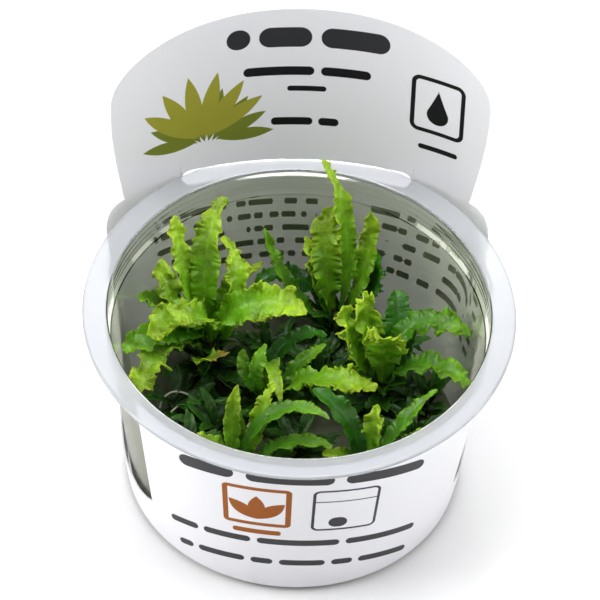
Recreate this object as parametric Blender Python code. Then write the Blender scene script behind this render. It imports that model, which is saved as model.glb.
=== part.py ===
"""Aquarium plants raised in a cup of gel: a clear cup with a flat rim, a white printed sleeve that
rises behind it as a flag, a layer of nutrient gel, six rooted plantlets with crisped leaves, and nine
young shoots between them. Units are metres, +Z is up and the front is -Y. The origin is the centre
of the cup's underside."""
import math
from collections import namedtuple

import bmesh
import bpy
from mathutils import Matrix, Vector

MM = 0.001

# Cup
CUP_HEIGHT = 54.5 * MM
FLANGE_RADIUS = 50.0 * MM
FLANGE_THICKNESS = 1.1 * MM
MOUTH_RADIUS = 44.6 * MM
NECK_RADIUS = 44.75 * MM
NECK_WALL = 0.6 * MM
LEDGE_HEIGHT = 47.6 * MM
LEDGE_DEPTH = 1.0 * MM
BASE_RADIUS = 38.7 * MM
WALL_SLOPE = 0.11
WALL_THICKNESS = 0.6 * MM
BASE_CORNER = 2.2 * MM
FLOOR_THICKNESS = 1.0 * MM
CUP_STEPS = 40

# Nutrient gel
GEL_GAP = 0.3 * MM
GEL_TOP = 9.5 * MM
GEL_CREEP = 0.2 * MM
GEL_EDGE = 1.6 * MM

# Sleeve: bearings are in degrees from the front, turning towards +X and on round the back
SHEET = 0.4 * MM
SLEEVE_BOTTOM = 1.5 * MM
SLEEVE_TOP = 52.8 * MM
SLEEVE_RADIUS = 39.4 * MM
SLEEVE_SLOPE = 0.128
PANEL_LEFT = -51.3
PANEL_RIGHT = 67.5
BAND_HEIGHT = 10.5 * MM
BAND_TIP = 3.0 * MM
BAND_TIP_SPREAD = 12.0
WING_START = 80.0
WING_FULL = 103.0
FLAG_BEARING = 183.0
FLAG_BOW = 80.0 * MM
FLAG_STANDOFF = 47.6 * MM
FLAG_HALF_WIDTH = 41.2 * MM
FLAG_SHOULDER = 44.2 * MM
FLAG_SHOULDER_HEIGHT = 81.0 * MM
FLAG_TOP = 98.6 * MM
FLAG_LEAN = math.radians(8.3)
ARCH_POWER = 2.3
SLIT_HALF_WIDTH = 27.5 * MM
SLIT_TOP = 55.0 * MM
SLIT_BOTTOM = 50.0 * MM
FLARE_START = 48.0
FLARE_END = 72.0

# Plantlets
STEM_RADIUS = 0.95 * MM
STEM_SIDES = 8
STEM_FOOT = GEL_TOP + 0.3 * MM
ROOT_OFFSET = 1.5 * MM
LEAF_HALF_THICKNESS = 0.28 * MM
ROOT_HALF_WIDTH = 0.35 * MM
NECK_SHARE = 0.22
SHOOT_STEM_RADIUS = 0.8 * MM

Leaf = namedtuple("Leaf", "low heading sweep rise droop length width roll frill waves tone")
Tuft = namedtuple("Tuft", "top count heading length rise")
Plantlet = namedtuple("Plantlet", "crown tuft leaves")

# A plantlet's crown is the top of its stem, in millimetres. Each leaf leaves the stem so many
# millimetres below the crown. It sets out at a heading, in degrees from +X, and rises at an angle.
# By its tip it has turned by its sweep and bent down by its droop. Length, width and the height of
# the crisped margin's waves are in millimetres. The tuft is the ring of small leaves that grows
# from the stem itself: its top height, number, first heading, length and rise.
PLANTLETS = {
    "left": Plantlet((-21, 16, 25), Tuft(15.5, 7, 359, 14.1, 39), [
        Leaf(3.4, 199, -97, 64, 12, 27.6, 5.8, 1, 1.0, 10, "lime"),
        Leaf(0.0, 182, 74, 87, 104, 25.3, 7.2, -21, 1.2, 10, "lime"),
        Leaf(4.7, 146, -40, 75, 21, 36, 5.4, 15, 0.6, 10, "lime"),
        Leaf(1.0, 119, -60, 84, 50, 36.3, 6.9, -15, 0.7, 10, "lime"),
        Leaf(6.6, -4, 148, 82, 43, 33.6, 5.4, 21, 0.8, 10, "lime"),
        Leaf(2.0, 60, -19, 80, 80, 24, 6.0, -10, 0.8, 10, "lime"),
        Leaf(0.0, -9, 6, 92, 120, 31, 8.0, 24, 1.0, 10, "lime"),
        Leaf(0.0, -81, -87, 90, 70, 28, 6.9, -23, 0.9, 10, "lime"),
        Leaf(0.5, 218, -13, 72, 102, 27.1, 7.0, -24, 0.8, 10, "green"),
        Leaf(6.2, 148, 58, 68, 41, 25.5, 7.0, -8, 0.8, 10, "green"),
        Leaf(4.5, -150, 50, 66, 95, 32, 7.5, 10, 1.0, 10, "lime"),
        Leaf(7.0, -120, 110, 50, 5, 23, 5.0, 0, 0.5, 10, "lime"),
    ]),
    "back": Plantlet((9, 27, 23), Tuft(16.2, 6, 353, 13.5, 38), [
        Leaf(0.0, 60, 95, 73, 17, 41, 5.0, 10, 0.5, 10, "lime"),
        Leaf(2.0, 150, -85, 86, 40, 30, 7.0, 0, 0.8, 10, "lime"),
        Leaf(4.5, 150, -20, 76, 16, 26, 5.0, 0, 0.5, 10, "lime"),
        Leaf(2.0, 25, 75, 62, -13, 31, 4.9, -1, 0.6, 10, "lime"),
        Leaf(4.5, 190, -60, 48, -18, 34, 4.0, 0, 0.4, 10, "green"),
        Leaf(7.0, 115, 100, 80, 110, 29, 6.0, 0, 0.6, 10, "dark"),
        Leaf(4.5, 15, 20, 38, -65, 26, 5.0, 0, 0.5, 10, "dark"),
    ]),
    "right": Plantlet((20.5, 8.5, 22), Tuft(15.4, 7, 13, 12.7, 33), [
        Leaf(0.0, -95, 0, 100, 50, 24, 9.5, 0, 1.1, 10, "lime"),
        Leaf(2.0, 130, -18, 64, -12, 25, 6.0, 0, 1.0, 10, "lime"),
        Leaf(4.5, 160, -5, 55, -27, 27, 6.0, 0, 0.9, 10, "lime"),
        Leaf(0.0, 70, -115, 88, 110, 31, 6.0, 10, 0.9, 10, "green"),
        Leaf(4.5, 50, 60, 80, 60, 25, 8.5, 0, 0.3, 10, "dark"),
        Leaf(4.5, -8, -30, 88, 108, 29.5, 6.5, 0, 0.7, 10, "green"),
    ]),
    "middle": Plantlet((-7, 5, 19), Tuft(13, 6, 53, 12.9, 36), [
        Leaf(0.0, -126, -11, 54, -73, 20, 4.5, 0, 0.3, 10, "green"),
        Leaf(2.0, -170, -110, 65, 16, 14, 3.5, 0, 0.3, 8, "green"),
        Leaf(0.0, -73, -3, 135, 180, 27, 3.9, -1, 0.4, 10, "lime"),
        Leaf(4.0, 100, -130, 70, 60, 26, 4.5, 0, 0.3, 10, "dark"),
        Leaf(4.0, 25, -5, 70, 42, 21, 3.5, 0, 0.4, 8, "green"),
        Leaf(2.0, -20, 12, 70, 90, 31, 7.0, 0, 0.8, 10, "lime"),
    ]),
    "front_left": Plantlet((-12, -17, 15), Tuft(12.6, 4, 337, 8.5, 13), [
        Leaf(0.0, 145, -97, 81, 11, 25, 3.9, 1, 0.3, 10, "lime"),
        Leaf(2.4, 102, -2, 68, -17, 19, 3.4, 1, 0.3, 8, "green"),
        Leaf(0.0, 75, -110, 88, 103, 32, 4.0, 0, 0.3, 10, "green"),
        Leaf(2.0, 66, -15, 62, 2, 25, 4.0, 0, 0.5, 10, "lime"),
        Leaf(3.1, 142, 56, 83, 62, 18, 4.7, 5, 0.4, 8, "lime"),
        Leaf(3.2, 33, -50, 73, 88, 26, 4.0, 0, 0.4, 10, "green"),
    ]),
    "front_right": Plantlet((17, -15, 15), Tuft(12.6, 5, 345, 8, 13), [
        Leaf(0.0, 121, 39, 87, 75, 25, 6.4, -2, 0.3, 10, "dark"),
        Leaf(0.0, 29, -9, 67, 24, 28, 4.0, -1, 0.3, 10, "green"),
        Leaf(2.0, 80, -20, 70, 0, 19, 5.0, 0, 0.6, 10, "lime"),
        Leaf(2.0, 0, 8, 66, 30, 24, 5.0, 0, 0.5, 10, "lime"),
        Leaf(3.0, 150, 60, 88, 85, 14, 4.5, 0, 0.4, 8, "lime"),
    ]),
}

# Young shoots stand low between the plantlets, each one piece: its place, then its tuft.
SHOOTS = [
    ((-29, 3), Tuft(15, 6, 20, 12, 40)),
    ((-18.2, -3.2), Tuft(14.9, 6, 54, 12.1, 44)),
    ((-25, -13.3), Tuft(15.2, 6, 78, 12.3, 45)),
    ((1, -8), Tuft(15, 6, 0, 12, 45)),
    ((28, -4), Tuft(15, 6, 30, 12, 45)),
    ((31, 7.9), Tuft(15, 6, 59, 12, 57)),
    ((5, 14), Tuft(15, 6, 20, 12, 50)),
    ((-7, 21), Tuft(15, 6, 45, 12, 50)),
    ((21.5, 24.1), Tuft(14.8, 6, 350, 12.8, 53)),
]
TUFT_WIDTH_SHARE = 0.34
TUFT_DROOP = 40
TUFT_SWEEP = 15
TUFT_FRILL = 0.3
TUFT_WAVES = 3
UPPER_RISE = 18
UPPER_SHORTER = 0.12
RANK_STEP = 1.2
TUFT_DROP = 0.6

FOLD = math.radians(15)
LEAF_COLOURS = {
    "lime": (0.35, 0.56, 0.06, 1),
    "green": (0.13, 0.33, 0.03, 1),
    "dark": (0.03, 0.12, 0.015, 1),
}


def finish(name, colour, roughness, transmission=0.0, ior=1.5):
    """A Principled material, made once for each name."""
    material = bpy.data.materials.get(name)
    if material:
        return material
    material = bpy.data.materials.new(name)
    material.use_nodes = True
    shader = material.node_tree.nodes["Principled BSDF"]
    shader.inputs["Base Color"].default_value = colour
    shader.inputs["Roughness"].default_value = roughness
    shader.inputs["Metallic"].default_value = 0.0
    shader.inputs["Transmission Weight"].default_value = transmission
    shader.inputs["IOR"].default_value = ior
    return material


def add_object(name, bm, material, sharp_angle=math.radians(40)):
    """Turn a bmesh into a named, smooth-shaded object."""
    mesh = bpy.data.meshes.new(name)
    bm.to_mesh(mesh)
    bm.free()
    mesh.materials.append(material)
    mesh.shade_smooth()
    mesh.set_sharp_from_angle(angle=sharp_angle)
    part = bpy.data.objects.new(name, mesh)
    bpy.context.scene.collection.objects.link(part)
    return part


def corner(centre, radius, start, end, steps):
    """Points (r, z) along a round corner, between two angles in degrees."""
    angles = [math.radians(start + (end - start) * k / steps) for k in range(steps + 1)]
    return [(centre[0] + radius * math.cos(a), centre[1] + radius * math.sin(a)) for a in angles]


def turn(name, profile, material):
    """Spin an (r, z) profile that starts and ends on the axis into a closed solid."""
    bm = bmesh.new()
    verts = [bm.verts.new((r, 0, z)) for r, z in profile]
    edges = [bm.edges.new(pair) for pair in zip(verts, verts[1:])]
    bmesh.ops.spin(bm, geom=verts + edges, cent=(0, 0, 0), axis=(0, 0, 1),
                   angle=math.tau, steps=CUP_STEPS, use_merge=True)
    bmesh.ops.remove_doubles(bm, verts=bm.verts, dist=0.001 * MM)
    bmesh.ops.recalc_face_normals(bm, faces=bm.faces)
    return add_object(name, bm, material)


def wall_outside(z):
    return BASE_RADIUS + WALL_SLOPE * z


def wall_inside(z):
    return wall_outside(z) - WALL_THICKNESS


def make_cup():
    """Thin clear cup: rounded base, tapered wall, a stacking ledge, a neck and a flat rim."""
    ledge_foot = LEDGE_HEIGHT - LEDGE_DEPTH
    flange_bottom = CUP_HEIGHT - FLANGE_THICKNESS
    edge_round = FLANGE_THICKNESS / 2
    lip_round = MOUTH_RADIUS - (NECK_RADIUS - NECK_WALL)
    profile = [(0, 0)]
    profile += corner((wall_outside(0) - BASE_CORNER, BASE_CORNER), BASE_CORNER, -90, 0, 2)
    profile += [(wall_outside(ledge_foot), ledge_foot), (NECK_RADIUS, LEDGE_HEIGHT)]
    profile += [(NECK_RADIUS, flange_bottom)]
    profile += corner((FLANGE_RADIUS - edge_round, CUP_HEIGHT - edge_round), edge_round, -90, 90, 2)
    profile += corner((MOUTH_RADIUS, CUP_HEIGHT - lip_round), lip_round, 90, 180, 2)
    profile += [(NECK_RADIUS - NECK_WALL, LEDGE_HEIGHT + WALL_THICKNESS / 2)]
    profile += [(wall_inside(ledge_foot), ledge_foot + WALL_THICKNESS / 2)]
    inner_corner = BASE_CORNER - FLOOR_THICKNESS / 2
    profile += corner((wall_inside(0) - inner_corner, FLOOR_THICKNESS + inner_corner), inner_corner, 0, -90, 2)
    profile += [(0, FLOOR_THICKNESS)]
    plastic = finish("clear_cup_plastic", (0.95, 0.98, 0.96, 1), 0.05, transmission=1.0, ior=1.49)
    return turn("cup", profile, plastic)


def make_gel():
    """Nutrient gel, poured level, standing a little higher where it meets the wall."""
    bottom = FLOOR_THICKNESS + GEL_GAP
    rim = GEL_TOP + GEL_CREEP
    low_side = wall_inside(bottom) - GEL_GAP
    high_side = wall_inside(rim) - GEL_GAP
    profile = [(0, bottom), (low_side - GEL_EDGE, bottom), (low_side, bottom + GEL_EDGE)]
    profile += [(high_side, rim), (high_side - GEL_EDGE, GEL_TOP), (0, GEL_TOP)]
    jelly = finish("nutrient_gel", (0.62, 0.66, 0.55, 1), 0.12, transmission=0.6, ior=1.34)
    return turn("gel", profile, jelly)


def smooth_step(low, high, value):
    t = min(max((value - low) / (high - low), 0.0), 1.0)
    return t * t * (3 - 2 * t)


def bowed_radius(angle):
    """Distance from the axis to the flag's bowed plan line, at an angle from the flag's middle."""
    inset = FLAG_BOW - FLAG_STANDOFF
    return math.sqrt(FLAG_BOW ** 2 - (inset * math.sin(angle)) ** 2) - inset * math.cos(angle)


def sleeve_point(bearing, z):
    """Outer face of the sleeve below the rim: straight lines from the base out to the rim's level."""
    off = abs((bearing - FLAG_BEARING + 180) % 360 - 180)
    snug = SLEEVE_RADIUS + SLEEVE_SLOPE * CUP_HEIGHT
    flare = 1 - smooth_step(FLARE_START, FLARE_END, off)
    bowed = bowed_radius(math.radians(min(off, FLARE_END)))
    top = snug + flare * (bowed - snug)
    r = SLEEVE_RADIUS + (top - SLEEVE_RADIUS) * z / CUP_HEIGHT
    b = math.radians(bearing)
    return Vector((r * math.sin(b), -r * math.cos(b), z))


def flag_half_width(z):
    t = min((z - CUP_HEIGHT) / (FLAG_SHOULDER_HEIGHT - CUP_HEIGHT), 1.0)
    return FLAG_HALF_WIDTH + (FLAG_SHOULDER - FLAG_HALF_WIDTH) * math.sin(max(t, 0) * math.pi / 2)


def flag_point(u, z):
    """Outer face of the flag; u runs from -1 to 1 across it."""
    across = u * flag_half_width(z)
    back = FLAG_STANDOFF - FLAG_BOW + math.sqrt(FLAG_BOW ** 2 - across ** 2)
    back += (z - CUP_HEIGHT) * math.tan(FLAG_LEAN)
    b = math.radians(FLAG_BEARING)
    side = Vector((math.cos(b), math.sin(b), 0))
    rear = Vector((math.sin(b), -math.cos(b), 0))
    return across * side + back * rear + Vector((0, 0, z))


def flag_bearing(u):
    """Bearing of the flag's column u where it passes the rim."""
    across = u * FLAG_HALF_WIDTH
    back = FLAG_STANDOFF - FLAG_BOW + math.sqrt(FLAG_BOW ** 2 - across ** 2)
    return FLAG_BEARING + math.degrees(math.atan2(across, back))


def band_top(bearing):
    """Upper edge of the low band, which turns up into a tip beside the front panel."""
    signed = (bearing + 180) % 360 - 180
    off = min(abs(signed - PANEL_LEFT), abs(signed - PANEL_RIGHT))
    near = max(0.0, 1 - off / BAND_TIP_SPREAD)
    return BAND_HEIGHT + BAND_TIP * near * near


def wing_top(bearing):
    """Upper edge behind a side window: a quarter ellipse up from the band to the rim."""
    off = abs((bearing + 180) % 360 - 180)
    t = min(max((off - WING_START) / (WING_FULL - WING_START), 0.0), 1.0)
    low = band_top(bearing)
    return low + (SLEEVE_TOP - low) * (1 - math.sqrt(1 - t * t))


def spaced(start, end, spans):
    return [start + (end - start) * k / spans for k in range(spans + 1)]


def sleeve_columns():
    """Columns of the sheet in order round the cup, each (bearing, top of panel, flag's u or None)."""
    slit = SLIT_HALF_WIDTH / FLAG_HALF_WIDTH
    edge = [math.sin(a) for a in spaced(math.asin(slit), math.pi / 2, 4)]
    across = [-u for u in reversed(edge)] + spaced(-slit, slit, 8)[1:-1] + edge
    flag = [(flag_bearing(u), SLIT_BOTTOM if abs(u) <= slit + 1e-6 else SLEEVE_TOP, u) for u in across]
    rise = [WING_START, 89, 95, 99, 102, WING_FULL]
    right = rise + spaced(WING_FULL, flag[0][0], 4)[1:-1]
    left = spaced(flag[-1][0], 360 - WING_FULL, 4)[1:-1] + [360 - b for b in reversed(rise)]
    columns = [(b, SLEEVE_TOP, None) for b in spaced(PANEL_LEFT, PANEL_RIGHT, 12)]
    columns += [(b, band_top(b), None) for b in spaced(PANEL_RIGHT, WING_START, 3)[1:-1]]
    columns += [(b, wing_top(b), None) for b in right]
    columns += flag
    columns += [(b, wing_top(b), None) for b in left]
    columns += [(b, band_top(b), None) for b in spaced(360 - WING_START, 360 + PANEL_LEFT, 6)[1:-1]]
    return columns


def make_sleeve():
    """One printed sheet: a low band all round, a front panel, two side windows, and a back panel that
    goes on past the rim as an arched flag. The rim pokes out through a slit in the flag."""
    bm = bmesh.new()
    panel_rows = (0, 1)
    flag_rows = spaced(0, 1, 5)
    columns = sleeve_columns()
    grid = []
    for bearing, top, u in columns:
        low = band_top(bearing)
        heights = [SLEEVE_BOTTOM] + [low + (top - low) * f for f in panel_rows]
        points = [sleeve_point(bearing, z) for z in heights]
        if u is not None:
            bend = (1 - abs(u) ** ARCH_POWER) ** (1 / ARCH_POWER) if abs(u) < 1 else 0.0
            crest = FLAG_SHOULDER_HEIGHT + (FLAG_TOP - FLAG_SHOULDER_HEIGHT) * bend
            points += [flag_point(u, SLIT_TOP + (crest - SLIT_TOP) * f) for f in flag_rows]
        grid.append([bm.verts.new(p) for p in points])
    slit_row = len(panel_rows)
    for j, column in enumerate(grid):
        following = (j + 1) % len(grid)
        beside = grid[following]
        tall = [columns[k][1] - band_top(columns[k][0]) > 1e-6 for k in (j, following)]
        for i in range(min(len(column), len(beside)) - 1):
            if i > 0 and not any(tall):
                continue
            us = [columns[k][2] for k in (j, following)]
            if i == slit_row and max(abs(u) for u in us) <= SLIT_HALF_WIDTH / FLAG_HALF_WIDTH + 1e-6:
                continue
            bm.faces.new((column[i], beside[i], beside[i + 1], column[i + 1]))
    bmesh.ops.remove_doubles(bm, verts=bm.verts, dist=0.001 * MM)
    paper = finish("printed_sleeve_sheet", (0.86, 0.86, 0.89, 1), 0.35)
    sleeve = add_object("sleeve", bm, paper)
    thickness = sleeve.modifiers.new("sheet", "SOLIDIFY")
    thickness.thickness = SHEET
    thickness.offset = -1
    thickness.use_even_offset = True
    return sleeve


def leaf_direction(leaf, t):
    heading = math.radians(leaf.heading + leaf.sweep * t)
    climb = math.radians(leaf.rise - leaf.droop * t)
    level = Vector((math.cos(heading), math.sin(heading), 0))
    return level * math.cos(climb) + Vector((0, 0, math.sin(climb)))


def leaf_midrib(root, leaf):
    """Points along the midrib, one for each station, found by stepping along its curve."""
    steps = 8
    point = Vector(root)
    points = [point.copy()]
    count = leaf.waves * steps
    for k in range(count):
        point = point + leaf_direction(leaf, (k + 0.5) / count) * (leaf.length * MM / count)
        if (k + 1) % steps == 0:
            points.append(point.copy())
    return points


def leaf_half_width(leaf, t):
    """Half the blade's width: narrow at the root, a slender neck, widest past the middle."""
    if t == 0:
        return ROOT_HALF_WIDTH
    blade = math.sin(math.pi * t ** 1.15) ** 0.75 if t < 1 else 0.0
    return leaf.width * MM / 2 * max(blade, NECK_SHARE * (1 - t))


def leaf_stations(root, leaf):
    """Four points for each station: left margin, upper midrib, right margin, lower midrib."""
    stations = []
    for k, middle in enumerate(leaf_midrib(root, leaf)):
        t = k / leaf.waves
        along = leaf_direction(leaf, t)
        heading = math.radians(leaf.heading + leaf.sweep * t)
        side = Vector((-math.sin(heading), math.cos(heading), 0))
        roll = Matrix.Rotation(math.radians(leaf.roll * min(1, 3 * t)), 3, along)
        side = roll @ side
        normal = along.cross(side)
        reach = leaf_half_width(leaf, t)
        swell = min(t / 0.25, (1 - t) / 0.12, 1.0)
        wave = leaf.frill * MM * max(swell, 0) * (-1) ** k
        lift = reach * math.sin(FOLD)
        left = middle + side * reach * math.cos(FOLD) + normal * (lift + wave)
        right = middle - side * reach * math.cos(FOLD) + normal * (lift - wave)
        core = normal * LEAF_HALF_THICKNESS
        stations.append((left, middle + core, right, middle - core))
    return stations


def leaf_bmesh(root, leaf):
    """Closed leaf with a pointed tip. Above and below, each pair of triangles is split the same way,
    from the margin of the even station, so the blade keeps its thickness through the waves."""
    bm = bmesh.new()
    stations = leaf_stations(root, leaf)
    tip = bm.verts.new((stations[-1][1] + stations[-1][3]) / 2)
    rings = [[bm.verts.new(p) for p in station] for station in stations[:-1]]
    bm.faces.new((rings[0][2], rings[0][1], rings[0][0]))
    bm.faces.new((rings[0][3], rings[0][2], rings[0][0]))
    for k, (ring, after) in enumerate(zip(rings, rings[1:])):
        for a in range(4):
            b = (a + 1) % 4
            quad = [ring[a], ring[b], after[b], after[a]]
            if (a + k) % 2:
                quad = quad[1:] + quad[:1]
            bm.faces.new(quad[:3])
            bm.faces.new((quad[0], quad[2], quad[3]))
    for a in range(4):
        bm.faces.new((rings[-1][a], rings[-1][(a + 1) % 4], tip))
    return bm


def leaf_finish(tone):
    return finish("leaf_" + tone, LEAF_COLOURS[tone], 0.4)


def make_stem(name, top, radius, sides):
    """Short round stem standing on the gel."""
    height = top.z - STEM_FOOT
    place = Matrix.Translation((top.x, top.y, STEM_FOOT + height / 2))
    bm = bmesh.new()
    bmesh.ops.create_cone(bm, cap_ends=True, segments=sides, radius1=radius, radius2=0.9 * radius,
                          depth=height, matrix=place)
    return add_object(name, bm, finish("stem_green", (0.2, 0.3, 0.06, 1), 0.5))


def fuse(base, others):
    """Union of the base and the other solids, which are then removed."""
    for other in others:
        join = base.modifiers.new("join", "BOOLEAN")
        join.operation = "UNION"
        join.solver = "EXACT"
        join.object = other
    bpy.context.view_layer.update()
    graph = bpy.context.evaluated_depsgraph_get()
    mesh = bpy.data.meshes.new_from_object(base.evaluated_get(graph))
    base.modifiers.clear()
    base.data = mesh
    for other in others:
        bpy.data.objects.remove(other, do_unlink=True)


def add_tuft(stem, x, y, tuft):
    """Grow a ring of small leaves from a stem, in two alternating ranks, as one piece with it."""
    leaves = []
    for k in range(tuft.count):
        upper = k % 2
        heading = tuft.heading + 360 * k / tuft.count
        length = tuft.length * (1 - UPPER_SHORTER * upper)
        leaf = Leaf(0, heading, TUFT_SWEEP, tuft.rise + UPPER_RISE * upper, TUFT_DROOP, length,
                    TUFT_WIDTH_SHARE * tuft.length, 0, TUFT_FRILL, TUFT_WAVES, "green")
        root = Vector((x, y, tuft.top - TUFT_DROP - RANK_STEP * (1 - upper))) * MM
        leaves.append(add_object("tuft_leaf", leaf_bmesh(root, leaf), leaf_finish("green")))
    fuse(stem, leaves)


def make_plantlet(name, plantlet):
    """A stem with its tuft, and the crown's leaves set round it."""
    crown = Vector(plantlet.crown) * MM
    stem = make_stem(name + "_stem", crown, STEM_RADIUS, STEM_SIDES)
    add_tuft(stem, plantlet.crown[0], plantlet.crown[1], plantlet.tuft)
    for number, leaf in enumerate(plantlet.leaves, 1):
        heading = math.radians(leaf.heading)
        root = crown + Vector((math.cos(heading), math.sin(heading), 0)) * ROOT_OFFSET
        root.z -= leaf.low * MM
        add_object("%s_leaf_%02d" % (name, number), leaf_bmesh(root, leaf), leaf_finish(leaf.tone))


def make_shoot(name, place, tuft):
    """A young shoot: a short stem and its tuft."""
    top = Vector((place[0], place[1], tuft.top)) * MM
    stem = make_stem(name, top, SHOOT_STEM_RADIUS, 6)
    add_tuft(stem, place[0], place[1], tuft)
    stem.data.materials.clear()
    stem.data.materials.append(leaf_finish("green"))


def main():
    for old in list(bpy.data.objects):
        bpy.data.objects.remove(old, do_unlink=True)
    make_cup()
    make_gel()
    make_sleeve()
    for name, plantlet in PLANTLETS.items():
        make_plantlet(name, plantlet)
    for number, (place, tuft) in enumerate(SHOOTS, 1):
        make_shoot("young_shoot_%d" % number, place, tuft)


main()
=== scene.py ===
# %% [markdown]
# # Young aquarium plants in a cup of gel
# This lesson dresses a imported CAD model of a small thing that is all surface: a clear cup, a printed
# sleeve that rises behind it as a flag, and a crowd of crisped green leaves. The CAD model gives every
# size and place. Here each part gets the shape and finish that the eye expects close up.
#
# They never move. Each new piece here stands for one node, which is then hidden.

# %% Load the frame
import math
import random
from functools import partial

import bmesh
import bpy
from mathutils import Matrix, Vector, noise


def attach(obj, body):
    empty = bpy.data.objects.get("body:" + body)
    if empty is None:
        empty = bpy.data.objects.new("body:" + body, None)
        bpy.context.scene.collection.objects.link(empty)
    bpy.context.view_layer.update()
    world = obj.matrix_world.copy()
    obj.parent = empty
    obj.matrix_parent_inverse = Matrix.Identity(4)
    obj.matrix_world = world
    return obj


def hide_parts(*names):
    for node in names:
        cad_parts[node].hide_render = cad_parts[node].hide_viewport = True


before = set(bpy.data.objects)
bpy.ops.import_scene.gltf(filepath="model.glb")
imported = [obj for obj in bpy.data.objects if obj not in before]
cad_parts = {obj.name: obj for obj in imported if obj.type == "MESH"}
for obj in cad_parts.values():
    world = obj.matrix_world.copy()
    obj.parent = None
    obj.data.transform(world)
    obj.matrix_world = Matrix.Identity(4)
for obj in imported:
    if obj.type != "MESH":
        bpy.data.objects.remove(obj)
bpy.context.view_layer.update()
MM = 0.001
print("CAD nodes:", len(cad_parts))

# %% [markdown]
# ## The camera
# The picture looks down at about 48 degrees from far away, with a long lens and a slight roll. Far away
# and long keeps the rim an almost true ellipse. The lens comes from the frame's width of 600 pixels and
# a 36 mm sensor.

# %% Camera
DISTANCE = 1.0
ELEVATION = 0.84429
ROLL = 0.04912
FOCAL_PIXELS = 4355.5
FRAME_PIXELS = 600
SENSOR = 36.0
LOOK_AT = Vector((0, 0, 0.0578))


def make_camera():
    back = Vector((0, -math.cos(ELEVATION), math.sin(ELEVATION)))
    right = Vector((1, 0, 0))
    up = right.cross(-back)
    turned_right = math.cos(ROLL) * right + math.sin(ROLL) * up
    turned_up = math.cos(ROLL) * up - math.sin(ROLL) * right
    axes = Matrix((turned_right, turned_up, back)).transposed().to_4x4()
    data = bpy.data.cameras.new("camera")
    data.sensor_width = SENSOR
    data.lens = FOCAL_PIXELS / FRAME_PIXELS * SENSOR
    camera = bpy.data.objects.new("camera", data)
    bpy.context.scene.collection.objects.link(camera)
    camera.matrix_world = Matrix.Translation(LOOK_AT + DISTANCE * back) @ axes
    bpy.context.scene.camera = camera
    return camera


print("lens %.1f mm" % make_camera().data.lens)

# %% [markdown]
# ## Colours and nodes
# Screen colours are written as hex values and turned to the linear values that the renderer adds and
# multiplies. One small function adds a shader node, sets what it is told, links what it is given and
# gives back the output that is wanted.

# %% Colours and nodes
SMOOTH = {"interpolation_type": "SMOOTHSTEP"}


def linear(hex_colour):
    """An sRGB hex colour as linear RGBA."""
    channels = [int(hex_colour[k:k + 2], 16) / 255 for k in (1, 3, 5)]
    return tuple(c / 12.92 if c <= 0.04045 else ((c + 0.055) / 1.055) ** 2.4 for c in channels) + (1,)


def add_node(tree, kind, inputs=(), operation=None, out=0, **settings):
    """Add a node. Its inputs are a list in their order, or a dict by name or number, of plain values or
    of the outputs that feed them. Settings are its own properties."""
    node = tree.nodes.new("ShaderNode" + kind)
    if operation:
        settings["operation"] = operation
    for name, value in settings.items():
        setattr(node, name, value)
    for key, value in dict(inputs if isinstance(inputs, dict) else enumerate(inputs)).items():
        if isinstance(value, bpy.types.NodeSocket):
            tree.links.new(value, node.inputs[key])
        else:
            node.inputs[key].default_value = value
    return node.outputs[out] if node.outputs else None


def new_material(name):
    """An empty material, and the function that adds a node to it."""
    material = bpy.data.materials.new(name)
    material.use_nodes = True
    material.node_tree.nodes.clear()
    return material, partial(add_node, material.node_tree)


# %% [markdown]
# Three patterns are shared by most finishes: noise that is fixed in the piece, colours laid one over
# the other, and a surface with a bump.

# %% Shared patterns


def grain(add, patches, detail):
    """Noise fixed in the piece, with so many patches to the metre."""
    return add("TexNoise", {"Vector": add("TexCoord", out="Object"), "Scale": patches, "Detail": detail})


def layered(add, base, *layers):
    """A base colour with others laid over it, each (mask, hex colour)."""
    colour = linear(base)
    for mask, hex_colour in layers:
        colour = add("Mix", {0: mask, 6: colour, 7: linear(hex_colour)}, out=2, data_type="RGBA")
    return colour


def set_surface(add, values, height=None, strength=0.0, depth=0.0):
    """Make the Principled shader the surface, with a bump that follows a height pattern."""
    if height:
        values["Normal"] = add("Bump", {"Height": height, "Strength": strength, "Distance": depth})
    add("OutputMaterial", [add("BsdfPrincipled", values)])


# %% [markdown]
# ## Clear moulded plastic
# The cup is thin injection-moulded plastic. The eye knows it by its edges: bright lines where the rim and
# ledge bend light, and a see-through wall between them. Plain transmission with the plastic's index does
# that. Slight waviness from the mould, some 6 mm across, keeps the reflections from being perfect, and
# shallow ribs round the neck, 1.9 mm apart, draw the thin bright lines there.
#
# The flat rim is thicker and has been scuffed by its lid seal, so it scatters part of the light and looks
# milky. The wall is scuffed too where the sleeve's side windows leave it bare, which blurs what stands
# behind it; its grey-olive tint there is painted shade that darkens the windows. Light crosses the foot the
# long way, through much plastic and gel, so its edge looks dark olive. All four finishes are one recipe with
# other numbers.

# %% Cup materials
RIB_PITCH = 1.9 * MM
RIB_SHARE = 1.2
RIBS_START = 48.0 * MM
RIBS_FULL = 48.6 * MM


def make_plastic(name, tint, transmission, roughness, shine):
    material, add = new_material(name)
    z = add("SeparateXYZ", [add("TexCoord", out="Object")], out=2)
    ribs = add("Math", [add("Math", [z, 2 * math.pi / RIB_PITCH], "MULTIPLY")], "SINE")
    on_neck = add("MapRange", [z, RIBS_START, RIBS_FULL, 0, RIB_SHARE], **SMOOTH)
    height = add("Math", [grain(add, 160, 1), add("Math", [ribs, on_neck], "MULTIPLY")], "ADD")
    set_surface(add, {
        "Base Color": linear(tint), "Roughness": roughness, "IOR": 1.49, "Specular IOR Level": shine,
        "Specular Tint": linear("#EEF1E2"), "Transmission Weight": transmission}, height, 0.06, 0.0004)
    return material


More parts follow.
